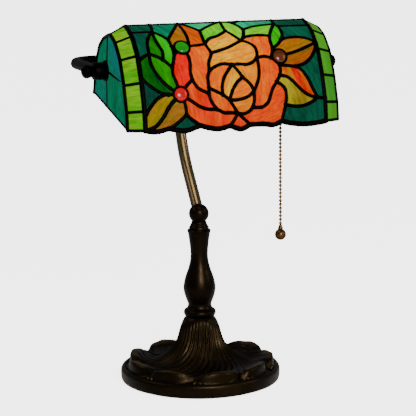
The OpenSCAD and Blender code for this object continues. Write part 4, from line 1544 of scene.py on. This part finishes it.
@dataclass
class Base:
    """The cast base: shells round the rim and flutes that swirl up a cone."""

    flutes: int = 36
    shells: int = 9
    cols: int = 648
    rows: int = 138
    scroll_reach: float = 84.0
    scroll_height: float = 6.6
    lobe_height: float = 5.4
    flute_depth: float = 1.75
    flute_start: float = 17.5
    groove: float = 0.9
    relief_to: float = 86.0
    relief_from: float = 14.0
    beads: tuple[tuple[float, float, float], ...] = (
        (83.0, 0.0, 2.3), (80.2, 0.045, 2.1), (80.0, -0.05, 2.0), (83.0, 0.07, 1.7),
        (83.2, -0.068, 1.8), (77.0, 0.0, 2.1), (76.6, 0.052, 1.5), (73.6, -0.012, 1.7),
        (83.0, 0.115, 1.3), (76.8, -0.055, 1.5),
    )
    outline: tuple[Point, ...] = (
        (16.3, 74), (18.2, 71.5), (19.8, 68), (21.8, 62), (23.6, 55), (25.4, 48.5), (28.6, 41.5),
        (33.5, 35), (40, 29.3), (48, 24.6), (56, 21.4), (63, 19.3), (69, 17.8), (74, 17.4),
        (80, 16.9), (84.2, 16.3), (85.4, 16.6), (86.6, 17.3), (88.2, 17.3), (89.6, 16.4),
        (90.6, 14.8), (91, 12.6), (91, 8.5), (90.6, 4.6), (89.4, 2.4), (87, 1.6),
    )

    def relief(self, r: float, angle: float) -> float:
        """Height of the casting's relief above its plain shape.

        Args:
            r: distance from the middle, in millimetres.
            angle: direction from the middle, in radians.

        Returns:
            The height, in millimetres.
        """
        sector = 2 * math.pi / self.shells
        turned = angle + math.pi / 2 + 0.10 * (r - 68) / 12
        a = (turned + sector / 2) % sector - sector / 2
        s = a / (sector / 2)
        reach = self.scroll_reach - 6.8 * abs(s) ** 2.4 - 1.8 * s
        crest = reach - 3.6
        swirl = 0.62 * (max(0.0, r - 21.5) / 42) ** 1.25
        phase = self.flutes * (angle + swirl)
        ridge = 1 - abs(math.sin(phase / 2)) ** 1.35
        second = 0.5 + 0.5 * math.cos(phase / 4 + 1.0)
        fade = (1 - 0.75 * self.ease(r, 60, 76)) * (1 - self.ease(r, crest - 2, crest + 3))
        start = self.ease(r, self.flute_start, 24)
        depth = self.flute_depth * start * fade * (0.75 + 0.35 * second)
        flute = depth * (ridge - 0.55)
        rise = self.ease(r, crest - 30, crest) ** 1.25
        fall = 1 - self.ease(r, crest + 0.5, reach + 1.8)
        width = max(0.0, 1 - abs(s / 0.82) ** 3.0)
        curl = (self.scroll_height + self.lobe_height * width) * rise * fall
        lobes = 0.45 * rise * fall * math.cos(3 * math.pi * s + 0.6)
        hollow = -self.groove * math.exp(-(((r - 84.2) / 1.6) ** 2))
        return flute + curl + lobes + hollow

    @staticmethod
    def ease(x: float, low: float, high: float) -> float:
        """A smooth step from 0 to 1.

        Args:
            x: the value.
            low: where the step starts.
            high: where it ends.

        Returns:
            The step's height.
        """
        t = max(0.0, min(1.0, (x - low) / (high - low)))
        return t * t * (3 - 2 * t)

    def build(self, shop: Workshop) -> None:
        """Adds casting, beads, felt, and the parts under the base.

        Args:
            shop: where finished pieces go.
        """
        self.casting(shop)
        self.berries(shop)
        felt = revolve("felt_disc", [(0, 0), (83.4, 0), (84, 0.4), (84, 1.5), (0, 1.5)], 96)
        shop.fit(felt, "felt", "felt", Body.STAND, ["felt_pad"])
        weight = revolve("ballast_ring", ring(24, 74, 2, 10), 96)
        shop.fit(weight, "black_metal", "ballast", Body.STAND, ["base_weight"])
        washer = revolve("pipe_washer", ring(5.2, 9, 48, 49.9), 48)
        shop.fit(washer, "zinc_plate", "zinc", Body.STAND, ["base_washer"])
        nut = revolve("pipe_nut", ring(5.1, 8.5, 42, 47.9), 6, crease=20)
        shop.fit(nut, "antique_brass", "brass", Body.STAND, ["base_nut"])
        lip = [(4.4, 10.6), (5.6, 10.8), (5.6, 11.5), (4.8, 12), (3.2, 12)]
        bore = [(3.2, 0), (4.4, 0), *lip, (3.2, 0)]
        gland = revolve("cord_gland", bore, 48, Vector((0, 80.5, 8.5)), Vector((0, 1, 0)))
        shop.fit(gland, "dark_rubber", "bushing", Body.STAND, ["cord_bushing"])

    def casting(self, shop: Workshop) -> None:
        """Adds the casting, rubbed on its ridges and crests.

        Args:
            shop: where finished pieces go.
        """
        last = len(self.outline) - 1

        def place(u: float, v: float) -> Vector:
            """The plain shape's point, lifted by the relief.

            Args:
                u: share of the way round.
                v: share of the way from the top down to the foot.

            Returns:
                The point, in millimetres.
            """
            p = spline(self.outline, v * last)
            ahead = spline(self.outline, min(last, v * last + 0.02))
            q = ahead - spline(self.outline, max(0, v * last - 0.02))
            n = Vector((q.y, -q.x)).normalized() * -1
            angle = 2 * math.pi * (round(u * self.cols) % self.cols) / self.cols
            carved = p.x < self.relief_to and p.y > self.relief_from
            lift = self.relief(p.x, angle) if carved else 0.0
            lean = 0.75 if p.x > 50 else 1.0
            r = p.x + n.x * lift * lean
            return Vector((r * math.cos(angle), r * math.sin(angle), p.y + n.y * lift))

        shell = grid("base_shell", self.cols, self.rows, place)
        wear = shell.data.attributes.new("wear", "FLOAT", "POINT")
        for vert, item in zip(shell.data.vertices, wear.data):
            x, y, z = vert.co / MM
            r = math.hypot(x, y)
            carved = r < self.relief_to and z > self.relief_from
            lift = self.relief(r, math.atan2(y, x)) if carved else 0.0
            ridge = max(0.0, lift - 0.35) * 0.4 * (1 - self.ease(r, 40, 50))
            crest = min(1.0, max(0.0, lift - 9.0) / 4.0)
            item.value = 0.7 * min(1.0, max(ridge, crest))
        smooth(shell, 60)
        shop.fit(shell, "cast_bronze", "bronze", Body.STAND, ["base_casting"])

    def berries(self, shop: Workshop) -> None:
        """Adds the clusters of beads between the scrolls.

        Args:
            shop: where finished pieces go.
        """
        rng = random.Random(5)
        made = []
        for i in range(self.shells):
            mid = -math.pi / 2 + (i + 0.5) * 2 * math.pi / self.shells
            for r, t, size in self.beads:
                a = mid + t + rng.uniform(-0.006, 0.006)
                z = 17.2 + max(0.0, 82 - r) * 0.12
                made.append(ball("bead", Vector((r * math.cos(a), r * math.sin(a), z)), size, 12))
        cluster = join("base_beads", made)
        cluster.data.attributes.new("wear", "FLOAT", "POINT")
        for item in cluster.data.attributes["wear"].data:
            item.value = 0.22
        shop.fit(cluster, "cast_bronze", "bronze", Body.STAND)


@dataclass
class Column:
    """The turned column and the ball on top of it."""

    ring: tuple[Point, ...] = (
        (5.3, 74), (16.1, 74), (16.6, 75), (17.5, 76.2), (18.2, 77.8), (18.4, 79.4), (18.1, 80.8),
        (17.2, 82.2), (15.8, 83), (14.8, 84), (5.3, 84),
    )
    vase: tuple[Point, ...] = (
        (14.2, 84.6), (13.3, 87.5), (13.4, 89.5), (15.0, 93.6), (17.3, 100.5), (18.3, 106.5),
        (18.1, 111), (16.9, 117), (14.9, 123.5), (12.6, 130), (10.9, 136.5), (10.0, 143),
        (9.9, 149), (10.6, 157), (11.6, 165), (12.4, 170),
    )
    cap: tuple[Point, ...] = (
        (5.3, 172.1), (12.9, 172.1), (13.3, 172.8), (13.3, 173.8), (12.6, 174.8), (11.3, 175.6),
        (11.2, 177.6), (10.6, 178.6), (9.9, 179.4), (9.5, 181), (8.6, 182), (8.3, 184), (5.3, 184),
    )
    globe_r: float = 11.3

    def build(self, shop: Workshop) -> None:
        """Adds the column's four turned pieces and the pipe inside them.

        Args:
            shop: where finished pieces go.
        """
        collar = revolve("collar_ring", self.ring, 96, crease=50)
        shop.fit(collar, "dark_bronze", "bronze", Body.STAND, ["column_ring"])
        body = [(p.x, p.y) for p in curve(self.vase, 1.6)]
        body = [(5.3, 84.1), (14.7, 84.1), *body, (12.9, 172), (5.3, 172)]
        vase = revolve("baluster", body, 96, crease=50)
        shop.fit(vase, "dark_bronze", "bronze", Body.STAND, ["column_vase"])
        cap = revolve("cap_steps", self.cap, 96, crease=30)
        shop.fit(cap, "dark_bronze", "bronze", Body.STAND, ["column_cap"])
        r = self.globe_r
        angles = [math.radians(-58 + i * 6) for i in range(25)]
        half = [(5.3, -9.6), *((r * math.cos(t), r * math.sin(t)) for t in angles), (0.0, r)]
        globe = revolve("column_globe", half, 64, Vector((0, 0, 193)), crease=50)
        shop.fit(globe, "dark_bronze", "bronze", Body.STAND, ["column_ball"])
        pipe = revolve("inner_pipe", ring(3.6, 5, 38, 186), 32)
        shop.fit(pipe, "antique_brass", "brass", Body.STAND, ["lamp_pipe"])


@dataclass
class Yoke:
    """The bent tube, its hub and the yoke that carries the shade."""

    ball_z: float = 193.0
    rise: float = 43.0
    lean: float = 40.0
    bend: float = 138.0
    tube_r: float = 6.35
    rod_r: float = 6.0
    corner: float = 30.0
    half: float = 128.0
    collar: tuple[Point, ...] = (
        (6.3, 340), (7.6, 340), (8.4, 341), (8.4, 342), (9.3, 343), (9.3, 345), (8.4, 346),
        (8.4, 347), (7.6, 348), (6.3, 348),
    )
    barrel: tuple[Point, ...] = (
        (5.8, -14), (9, -14), (9.6, -13.2), (9.6, -10), (8.6, -8.6), (8.6, 8.6), (9.6, 10),
        (9.6, 13.2), (9, 14), (5.8, 14),
    )
    neck: tuple[Point, ...] = (
        (6.3, 348.2), (8.4, 348.2), (8.4, 352), (7.6, 354), (7.6, 360), (0, 360),
    )

    @property
    def back(self) -> float:
        """How far back the yoke's bar is."""
        a = math.radians(self.lean)
        return self.rise * math.tan(a) + self.bend * (1 - math.cos(a))

    def tube_path(self) -> list[Vector]:
        """Centre line of the bent tube.

        Returns:
            Its points, from the ball up to the hub.
        """
        a = math.radians(self.lean)
        d = Vector((0, math.sin(a), math.cos(a)))
        start = Vector((0, 0, self.ball_z))
        turn = start + Vector((0, self.rise * math.tan(a), self.rise))
        centre = turn + Vector((0, -math.cos(a), math.sin(a))) * self.bend
        path = [start + d * s for s in (8.0, 14.0, 24.0, 36.0, 48.0)]
        for i in range(25):
            t = -a + a * i / 24
            path.append(centre + Vector((0, math.cos(t), math.sin(t))) * self.bend)
        return path + [Vector((0, self.back, z)) for z in (335.0, 345.0, 353.0)]

    def build(self, shop: Workshop) -> None:
        """Adds tube, collar, hub, rod and eyes.

        Args:
            shop: where finished pieces go.
        """
        tube = sweep("bent_tube", self.tube_path(), self.tube_r, 48)
        shop.fit(tube, "tube_bronze", "bronze", Body.STAND, ["bent_arm"])
        (front, z), y = TILT_AXIS, self.back
        upright, across = Vector((0, y, 0)), Vector((1, 0, 0))
        collar = revolve("tube_collar", self.collar, 64, upright, crease=50)
        shop.fit(collar, "dark_bronze", "bronze", Body.STAND, ["arm_collar"])
        hub = revolve("hub_barrel", self.barrel, 64, Vector((0, y, z)), across, crease=50)
        neck = revolve("hub_neck", self.neck, 48, upright)
        tee = join("yoke_tee", [hub, neck])
        shop.fit(tee, "dark_bronze", "bronze", Body.STAND, ["yoke_hub"])
        rod = sweep("yoke_bar", self.rod_path(), self.rod_r, 36)
        shop.fit(rod, "black_metal", "black_iron", Body.STAND, ["yoke_rod"])
        for side in Side:
            word = side.name.lower()
            bore = 3.1 if side is Side.LEFT else 5.1
            boss = [(8.6, -6), (9.5, -5.1), (9.5, 5.1), (8.6, 6)]
            boss = [(bore, -6), *boss, (bore, 6), (bore, -6)]
            spot = Vector((side.value * self.half, front, z))
            eye = revolve(f"yoke_boss_{word}", boss, 64, spot, across, crease=50)
            shop.fit(eye, "black_metal", "black_iron", Body.STAND, [f"yoke_eye_{word}"])

    def rod_path(self) -> list[Vector]:
        """Centre line of the yoke's rod.

        Returns:
            Its points, from the left eye round the back to the right eye.
        """
        y, z = self.back, TILT_AXIS[1]
        front = TILT_AXIS[0] + 8.5
        depths = [front + (y - self.corner - front) * i / 6 for i in range(6)]
        path = [Vector((-self.half, d, z)) for d in depths]
        for side in (-1, 1):
            mid = Vector((side * (self.half - self.corner), y - self.corner, z))
            turns = [math.radians(t) for t in range(90, -1, -6)]
            arc = [mid + Vector((side * math.sin(t), math.cos(t), 0)) * self.corner for t in turns]
            path += arc[::-1] if side > 0 else arc
        return path + [Vector((self.half, d, z)) for d in reversed(depths)]


# ---------------------------------------------------------------- fittings and chain


@dataclass
class Pivots:
    """The fittings on the shade's tilt axis."""

    knob_x: float = 134.3
    grip: tuple[Point, ...] = (
        (0, 0), (5.6, 0), (6.5, 0.7), (6.3, 1.4), (5.9, 1.9), (6.6, 3.1), (7.3, 4.7), (7.6, 6.3),
        (7.4, 7.9), (6.7, 9.4), (5.3, 10.9), (3.5, 11.9), (1.7, 12.5), (0, 12.7),
    )

    def turned(
        self, name: str, side: Side, outline: Sequence[Point], steps: int = 48
    ) -> bpy.types.Object:
        """Turns an outline round the tilt axis at one end.

        Args:
            name: the object's name.
            side: which end.
            outline: radius and distance from the middle.
            steps: steps round the axis.

        Returns:
            The new mesh object.
        """
        middle, out = Vector((0, *TILT_AXIS)), Vector((side.value, 0, 0))
        return revolve(name, outline, steps, middle, out, crease=40)

    def build(self, shop: Workshop) -> None:
        """Adds plates, washers, nuts, nipple and both knobs.

        Args:
            shop: where finished pieces go.
        """
        k = self.knob_x
        grip = [(r, k + h) for r, h in self.grip]
        pin = [(0, 107), (2.6, 107), (3, 107.6), (3, k + 1), (0, k + 1)]
        head = self.turned("thumbscrew_grip", Side.LEFT, grip)
        screw = join("thumbscrew", [head, self.turned("thumbscrew_shank", Side.LEFT, pin)])
        shop.fit(screw, "black_metal", "black_iron", Body.THUMBSCREW, ["thumbscrew_left"])
        knob = self.turned("turning_knob", Side.RIGHT, grip)
        shop.fit(knob, "black_metal", "black_iron", Body.KNOB, ["knob_right"])
        for side, bore in ((Side.LEFT, 3.1), (Side.RIGHT, 5.1)):
            word = side.name.lower()
            plate = [(11.5, 119.5), (11.5, 120.4), (10.6, 121.2)]
            plate = [(bore, 119.5), *plate, (bore, 121.2), (bore, 119.5)]
            liner = [(11.2, 113.2), (11.5, 113.6), (11.5, 115.4)]
            liner = [(bore, 113.2), *liner, (bore, 115.4), (bore, 113.2)]
            outer = self.turned(f"plate_{word}", side, plate)
            inner = self.turned(f"inner_plate_{word}", side, liner)
            plates = join(f"end_plate_{word}", [outer, inner])
            shop.fit(plates, "black_metal", "brass", Body.SHADE, [f"end_plates_{word}"])
            disc = self.turned(f"friction_disc_{word}", side, ring(bore, 10.5, 121.5, 122))
            shop.fit(disc, "black_metal", "black_iron", Body.SHADE, [f"friction_washer_{word}"])
        nut = self.turned("hinge_hex_nut", Side.LEFT, ring(3.1, 6, 109.2, 113.2), 6)
        shop.fit(nut, "antique_brass", "brass", Body.SHADE, ["hinge_nut"])
        lock = self.turned("nipple_hex_nut", Side.RIGHT, ring(5.1, 8.2, 109.9, 112.9), 6)
        shop.fit(lock, "antique_brass", "brass", Body.SHADE, ["nipple_locknut"])
        pipe = self.turned("hollow_nipple", Side.RIGHT, ring(3.4, 5, 101, 141))
        shop.fit(pipe, "antique_brass", "brass", Body.SHADE, ["pivot_nipple"])


@dataclass
class LampHolder:
    """The lamp holder inside the shade, with its pull switch."""

    parts: tuple[tuple[str, str, str, str, tuple[Point, ...]], ...] = (
        (
            "holder_cap", "antique_brass", "brass", "socket_cap",
            (
                (5.1, 104), (5.1, 107), (8, 107), (10.8, 106.2), (13.4, 104.4), (15.6, 101.6),
                (17.2, 98), (18.3, 94.6), (18.3, 88.2), (17.6, 88.2), (17.6, 93), (14.5, 96),
                (12, 102), (5.1, 104),
            ),
        ),
        (
            "holder_shell", "antique_brass", "brass", "socket_shell",
            (
                (16.7, 45), (18.5, 45), (18.9, 46), (18.9, 48.4), (17.8, 49.4), (17.5, 50.5),
                (17.5, 60), (17.9, 61), (17.5, 62), (17.5, 92), (16.7, 92), (16.7, 45),
            ),
        ),
        (
            "holder_liner", "liner_card", "liner", "socket_liner",
            ((14.5, 46), (16.5, 46), (16.5, 91), (2, 91), (2, 73), (14.5, 73), (14.5, 46)),
        ),
        (
            "holder_contact", "antique_brass", "brass", "socket_contact",
            ((0, 71.2), (3.5, 71.2), (3.5, 72.9), (1.9, 72.9), (1.9, 80), (0, 80)),
        ),
    )
    stem: tuple[Point, ...] = (
        (2, 340), (3.4, 340), (4.3, 340.6), (4.3, 341.4), (3.4, 342.6), (3.2, 350), (3.4, 354),
        (2, 354), (2, 340),
    )

    def build(self, shop: Workshop) -> None:
        """Adds cap, shell, liner, screw shell, contact and switch stem.

        Args:
            shop: where finished pieces go.
        """
        mid, right = Vector((0, *TILT_AXIS)), Vector((1, 0, 0))
        for name, finish, slot, node, outline in self.parts:
            piece = revolve(name, outline, 72, mid, right, 40)
            shop.fit(piece, finish, slot, Body.SHADE, [node])
        waves = [(14.2 - 0.45 * (0.5 + 0.5 * wave(i)), 48 + i * 0.44) for i in range(57)]
        thread = revolve("screw_shell", [(13.7, 48), *waves, (13.7, 72.8)], 64, mid, right, 60)
        shop.fit(thread, "antique_brass", "brass", Body.SHADE, ["socket_screw_shell"])
        stem = revolve("switch_spout", self.stem, 40, Vector((CHAIN_X, TILT_AXIS[0], 0)))
        shop.fit(stem, "antique_brass", "brass", Body.SHADE, ["switch_stem"])


@dataclass
class Bulb:
    """A pear-shaped opal bulb in the lamp holder."""

    seat: float = 47.0
    globe: tuple[Point, ...] = (
        (10.6, 0.2), (12.2, 4), (13.8, 11), (16.6, 21), (20.9, 32), (25.8, 42), (29.0, 52),
        (29.7, 60), (28.2, 69), (23.6, 77), (15.6, 82.6), (7.6, 84.6), (0, 84.9),
    )

    def build(self, shop: Workshop) -> None:
        """Adds the globe, its cap and the contact.

        Args:
            shop: where finished pieces go.
        """
        at, left = Vector((self.seat, *TILT_AXIS)), Vector((-1, 0, 0))
        outline = [(0.0, 0.2)] + [(max(0.0, p.x), p.y) for p in curve(self.globe, 2.0)]
        globe = revolve("bulb_opal_globe", outline, 64, at, left, 60)
        shop.fit(globe, "bulb_opal", "bulb_glass", Body.BULB, ["bulb_globe"])
        waves = [(13.0 - 0.5 * (0.5 - 0.5 * wave(i)), -1.5 - i * 0.4) for i in range(45)]
        screw = [(0, -0.1), (13, -0.1), *waves, (13, -20), (6, -22.4), (0, -22.4)]
        cap = revolve("bulb_screw_cap", screw, 64, at, left, 60)
        shop.fit(cap, "zinc_plate", "zinc", Body.BULB, ["bulb_cap"])
        point = [(0, -22.5), (4, -22.5), (3.4, -23.6), (0, -24)]
        tip = revolve("bulb_tip", point, 32, at, left)
        shop.fit(tip, "antique_brass", "brass", Body.BULB, ["bulb_contact"])


@dataclass
class PullChain:
    """The ball chain and its end ball."""

    top: float = 343.0
    beads: int = 38
    pitch: float = 4.3
    bead_r: float = 1.6
    swell: float = 0.25
    swell_below: float = 315.0
    pin_r: float = 0.75
    drop_r: float = 6.35
    bell: tuple[Point, ...] = (
        (0, 0.1), (2.9, 0.1), (3.1, 0.8), (2.7, 1.7), (2.2, 2.8), (1.9, 4), (1.2, 5), (0, 5),
    )

    def at(self, z: float) -> Vector:
        """A point on the chain's line."""
        return Vector((CHAIN_X, TILT_AXIS[0], z))

    def build(self, shop: Workshop) -> None:
        """Adds beads, links, bell and ball.

        Args:
            shop: where finished pieces go.
        """
        r, zs = self.bead_r, [self.top - i * self.pitch for i in range(self.beads)]
        swells = [self.swell if z < self.swell_below else 0 for z in zs]
        beads = [ball("bead", self.at(z), r + more, 16) for z, more in zip(zs, swells)]
        chain = join("ball_chain", beads)
        shop.fit(chain, "antique_brass", "brass", Body.CHAIN, ["chain_beads"])
        gap = self.pitch - 2 * r
        links = []
        for z in zs[:-1]:
            low, high = z - r - gap, z - r
            pin = [(0, low), (self.pin_r, low), (self.pin_r, high), (0, high)]
            links.append(revolve("link", pin, 10, self.at(0)))
        pins = join("chain_pins", links)
        shop.fit(pins, "antique_brass", "brass", Body.CHAIN, ["chain_links"])
        foot = self.at(zs[-1] - r - 5)
        bell = revolve("chain_bell_cap", self.bell, 40, foot, crease=50)
        shop.fit(bell, "antique_brass", "brass", Body.CHAIN, ["chain_bell"])
        drop = ball("chain_drop", foot - Vector((0, 0, 6.2)), self.drop_r, 40)
        shop.fit(drop, "antique_brass", "brass", Body.CHAIN, ["chain_ball"])


# ---------------------------------------------------------------- studio


@dataclass
class Studio:
    """Pale floor, soft lights and the camera."""

    lens: float = 155.8
    eye: tuple[float, float, float] = (-0.662, -1.888, 0.5616)
    right: tuple[float, float, float] = (0.9413, -0.3373, -0.0089)
    up: tuple[float, float, float] = (0.0684, 0.1649, 0.9839)

    def light(
        self, name: str, at: Sequence[float], aim: Sequence[float], size: float, power: float
    ) -> None:
        """Adds one area light.

        Args:
            name: the light's name.
            at: its place, in metres.
            aim: the point that it faces.
            size: edge of its square, in metres.
            power: its power, in watts.
        """
        deselect()
        bpy.ops.object.light_add(type="AREA", location=at)
        lamp = bpy.context.object
        lamp.name = name
        lamp.rotation_euler = (Vector(aim) - Vector(at)).to_track_quat("-Z", "Y").to_euler()
        lamp.data.shape = "SQUARE"
        lamp.data.size = size
        lamp.data.energy = power

    def build(self, finishes: Finishes) -> None:
        """Adds floor, world, lights and camera.

        Args:
            finishes: where the floor's finish is kept.
        """
        deselect()
        bpy.ops.mesh.primitive_plane_add(size=60, location=(0, 0, 0))
        floor = bpy.context.object
        floor.name = "studio_floor"
        g = Graph("studio_floor")
        g.set(Base_Color=(0.8, 0.8, 0.8), Roughness=0.9, Specular_IOR_Level=0.0)
        seen = g.add("ShaderNodeLightPath").outputs["Is Camera Ray"]
        g.set(Emission_Color=(1.0, 1.0, 1.0), Emission_Strength=g.span(seen, 0.0, 1.0, 0.04, 3.9))
        finishes.made["studio_floor"] = g.material
        finishes.paint(floor, "studio_floor")
        floor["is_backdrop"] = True
        world = bpy.data.worlds.new("studio_world")
        world.use_nodes = True
        sky = world.node_tree.nodes["Background"]
        sky.inputs["Color"].default_value = (1, 1, 1, 1)
        seen = world.node_tree.nodes.new("ShaderNodeLightPath")
        level = world.node_tree.nodes.new("ShaderNodeMapRange")
        level.inputs["To Min"].default_value = 0.16
        level.inputs["To Max"].default_value = 4.2
        world.node_tree.links.new(seen.outputs["Is Camera Ray"], level.inputs["Value"])
        world.node_tree.links.new(level.outputs["Result"], sky.inputs["Strength"])
        bpy.context.scene.world = world
        middle = (0, 0, 0.2)
        self.light("key", (-0.15, -2.1, 1.0), middle, 0.55, 42)
        self.light("fill", (1.7, -0.9, 1.0), middle, 0.7, 8)
        self.light("rim", (-1.5, 0.4, 1.7), middle, 0.7, 6)
        deselect()
        bpy.ops.object.camera_add(location=self.eye)
        camera = bpy.context.object
        camera.name = "camera_main"
        r, u = Vector(self.right), Vector(self.up)
        camera.rotation_euler = Matrix((r, u, r.cross(u))).transposed().to_euler()
        camera.data.lens = self.lens
        camera.data.sensor_width = 36
        camera.data.clip_end = 50
        bpy.context.scene.camera = camera


def main() -> None:
    """Builds the lamp piece by piece."""
    logging.basicConfig(level=logging.INFO, format="%(message)s", stream=sys.stdout)
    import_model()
    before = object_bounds()
    finishes = Finishes()
    shop = Workshop(finishes)
    profile = Profile()
    makers = (
        Base(), Column(), Yoke(), FrontPanel(profile), BackPanel(profile), Borders(profile),
        EndPanels(profile), Pivots(), LampHolder(), Bulb(), PullChain(),
    )
    for maker in makers:
        LOG.info("building %s", type(maker).__name__)
        maker.build(shop)
    Studio().build(finishes)
    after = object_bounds()
    sizes = {"before": [list(p) for p in before], "after": [list(p) for p in after]}
    LOG.info("%d pieces; from %s to %s", shop.count, sizes["after"][0], sizes["after"][1])


if __name__ == "__main__":
    main()
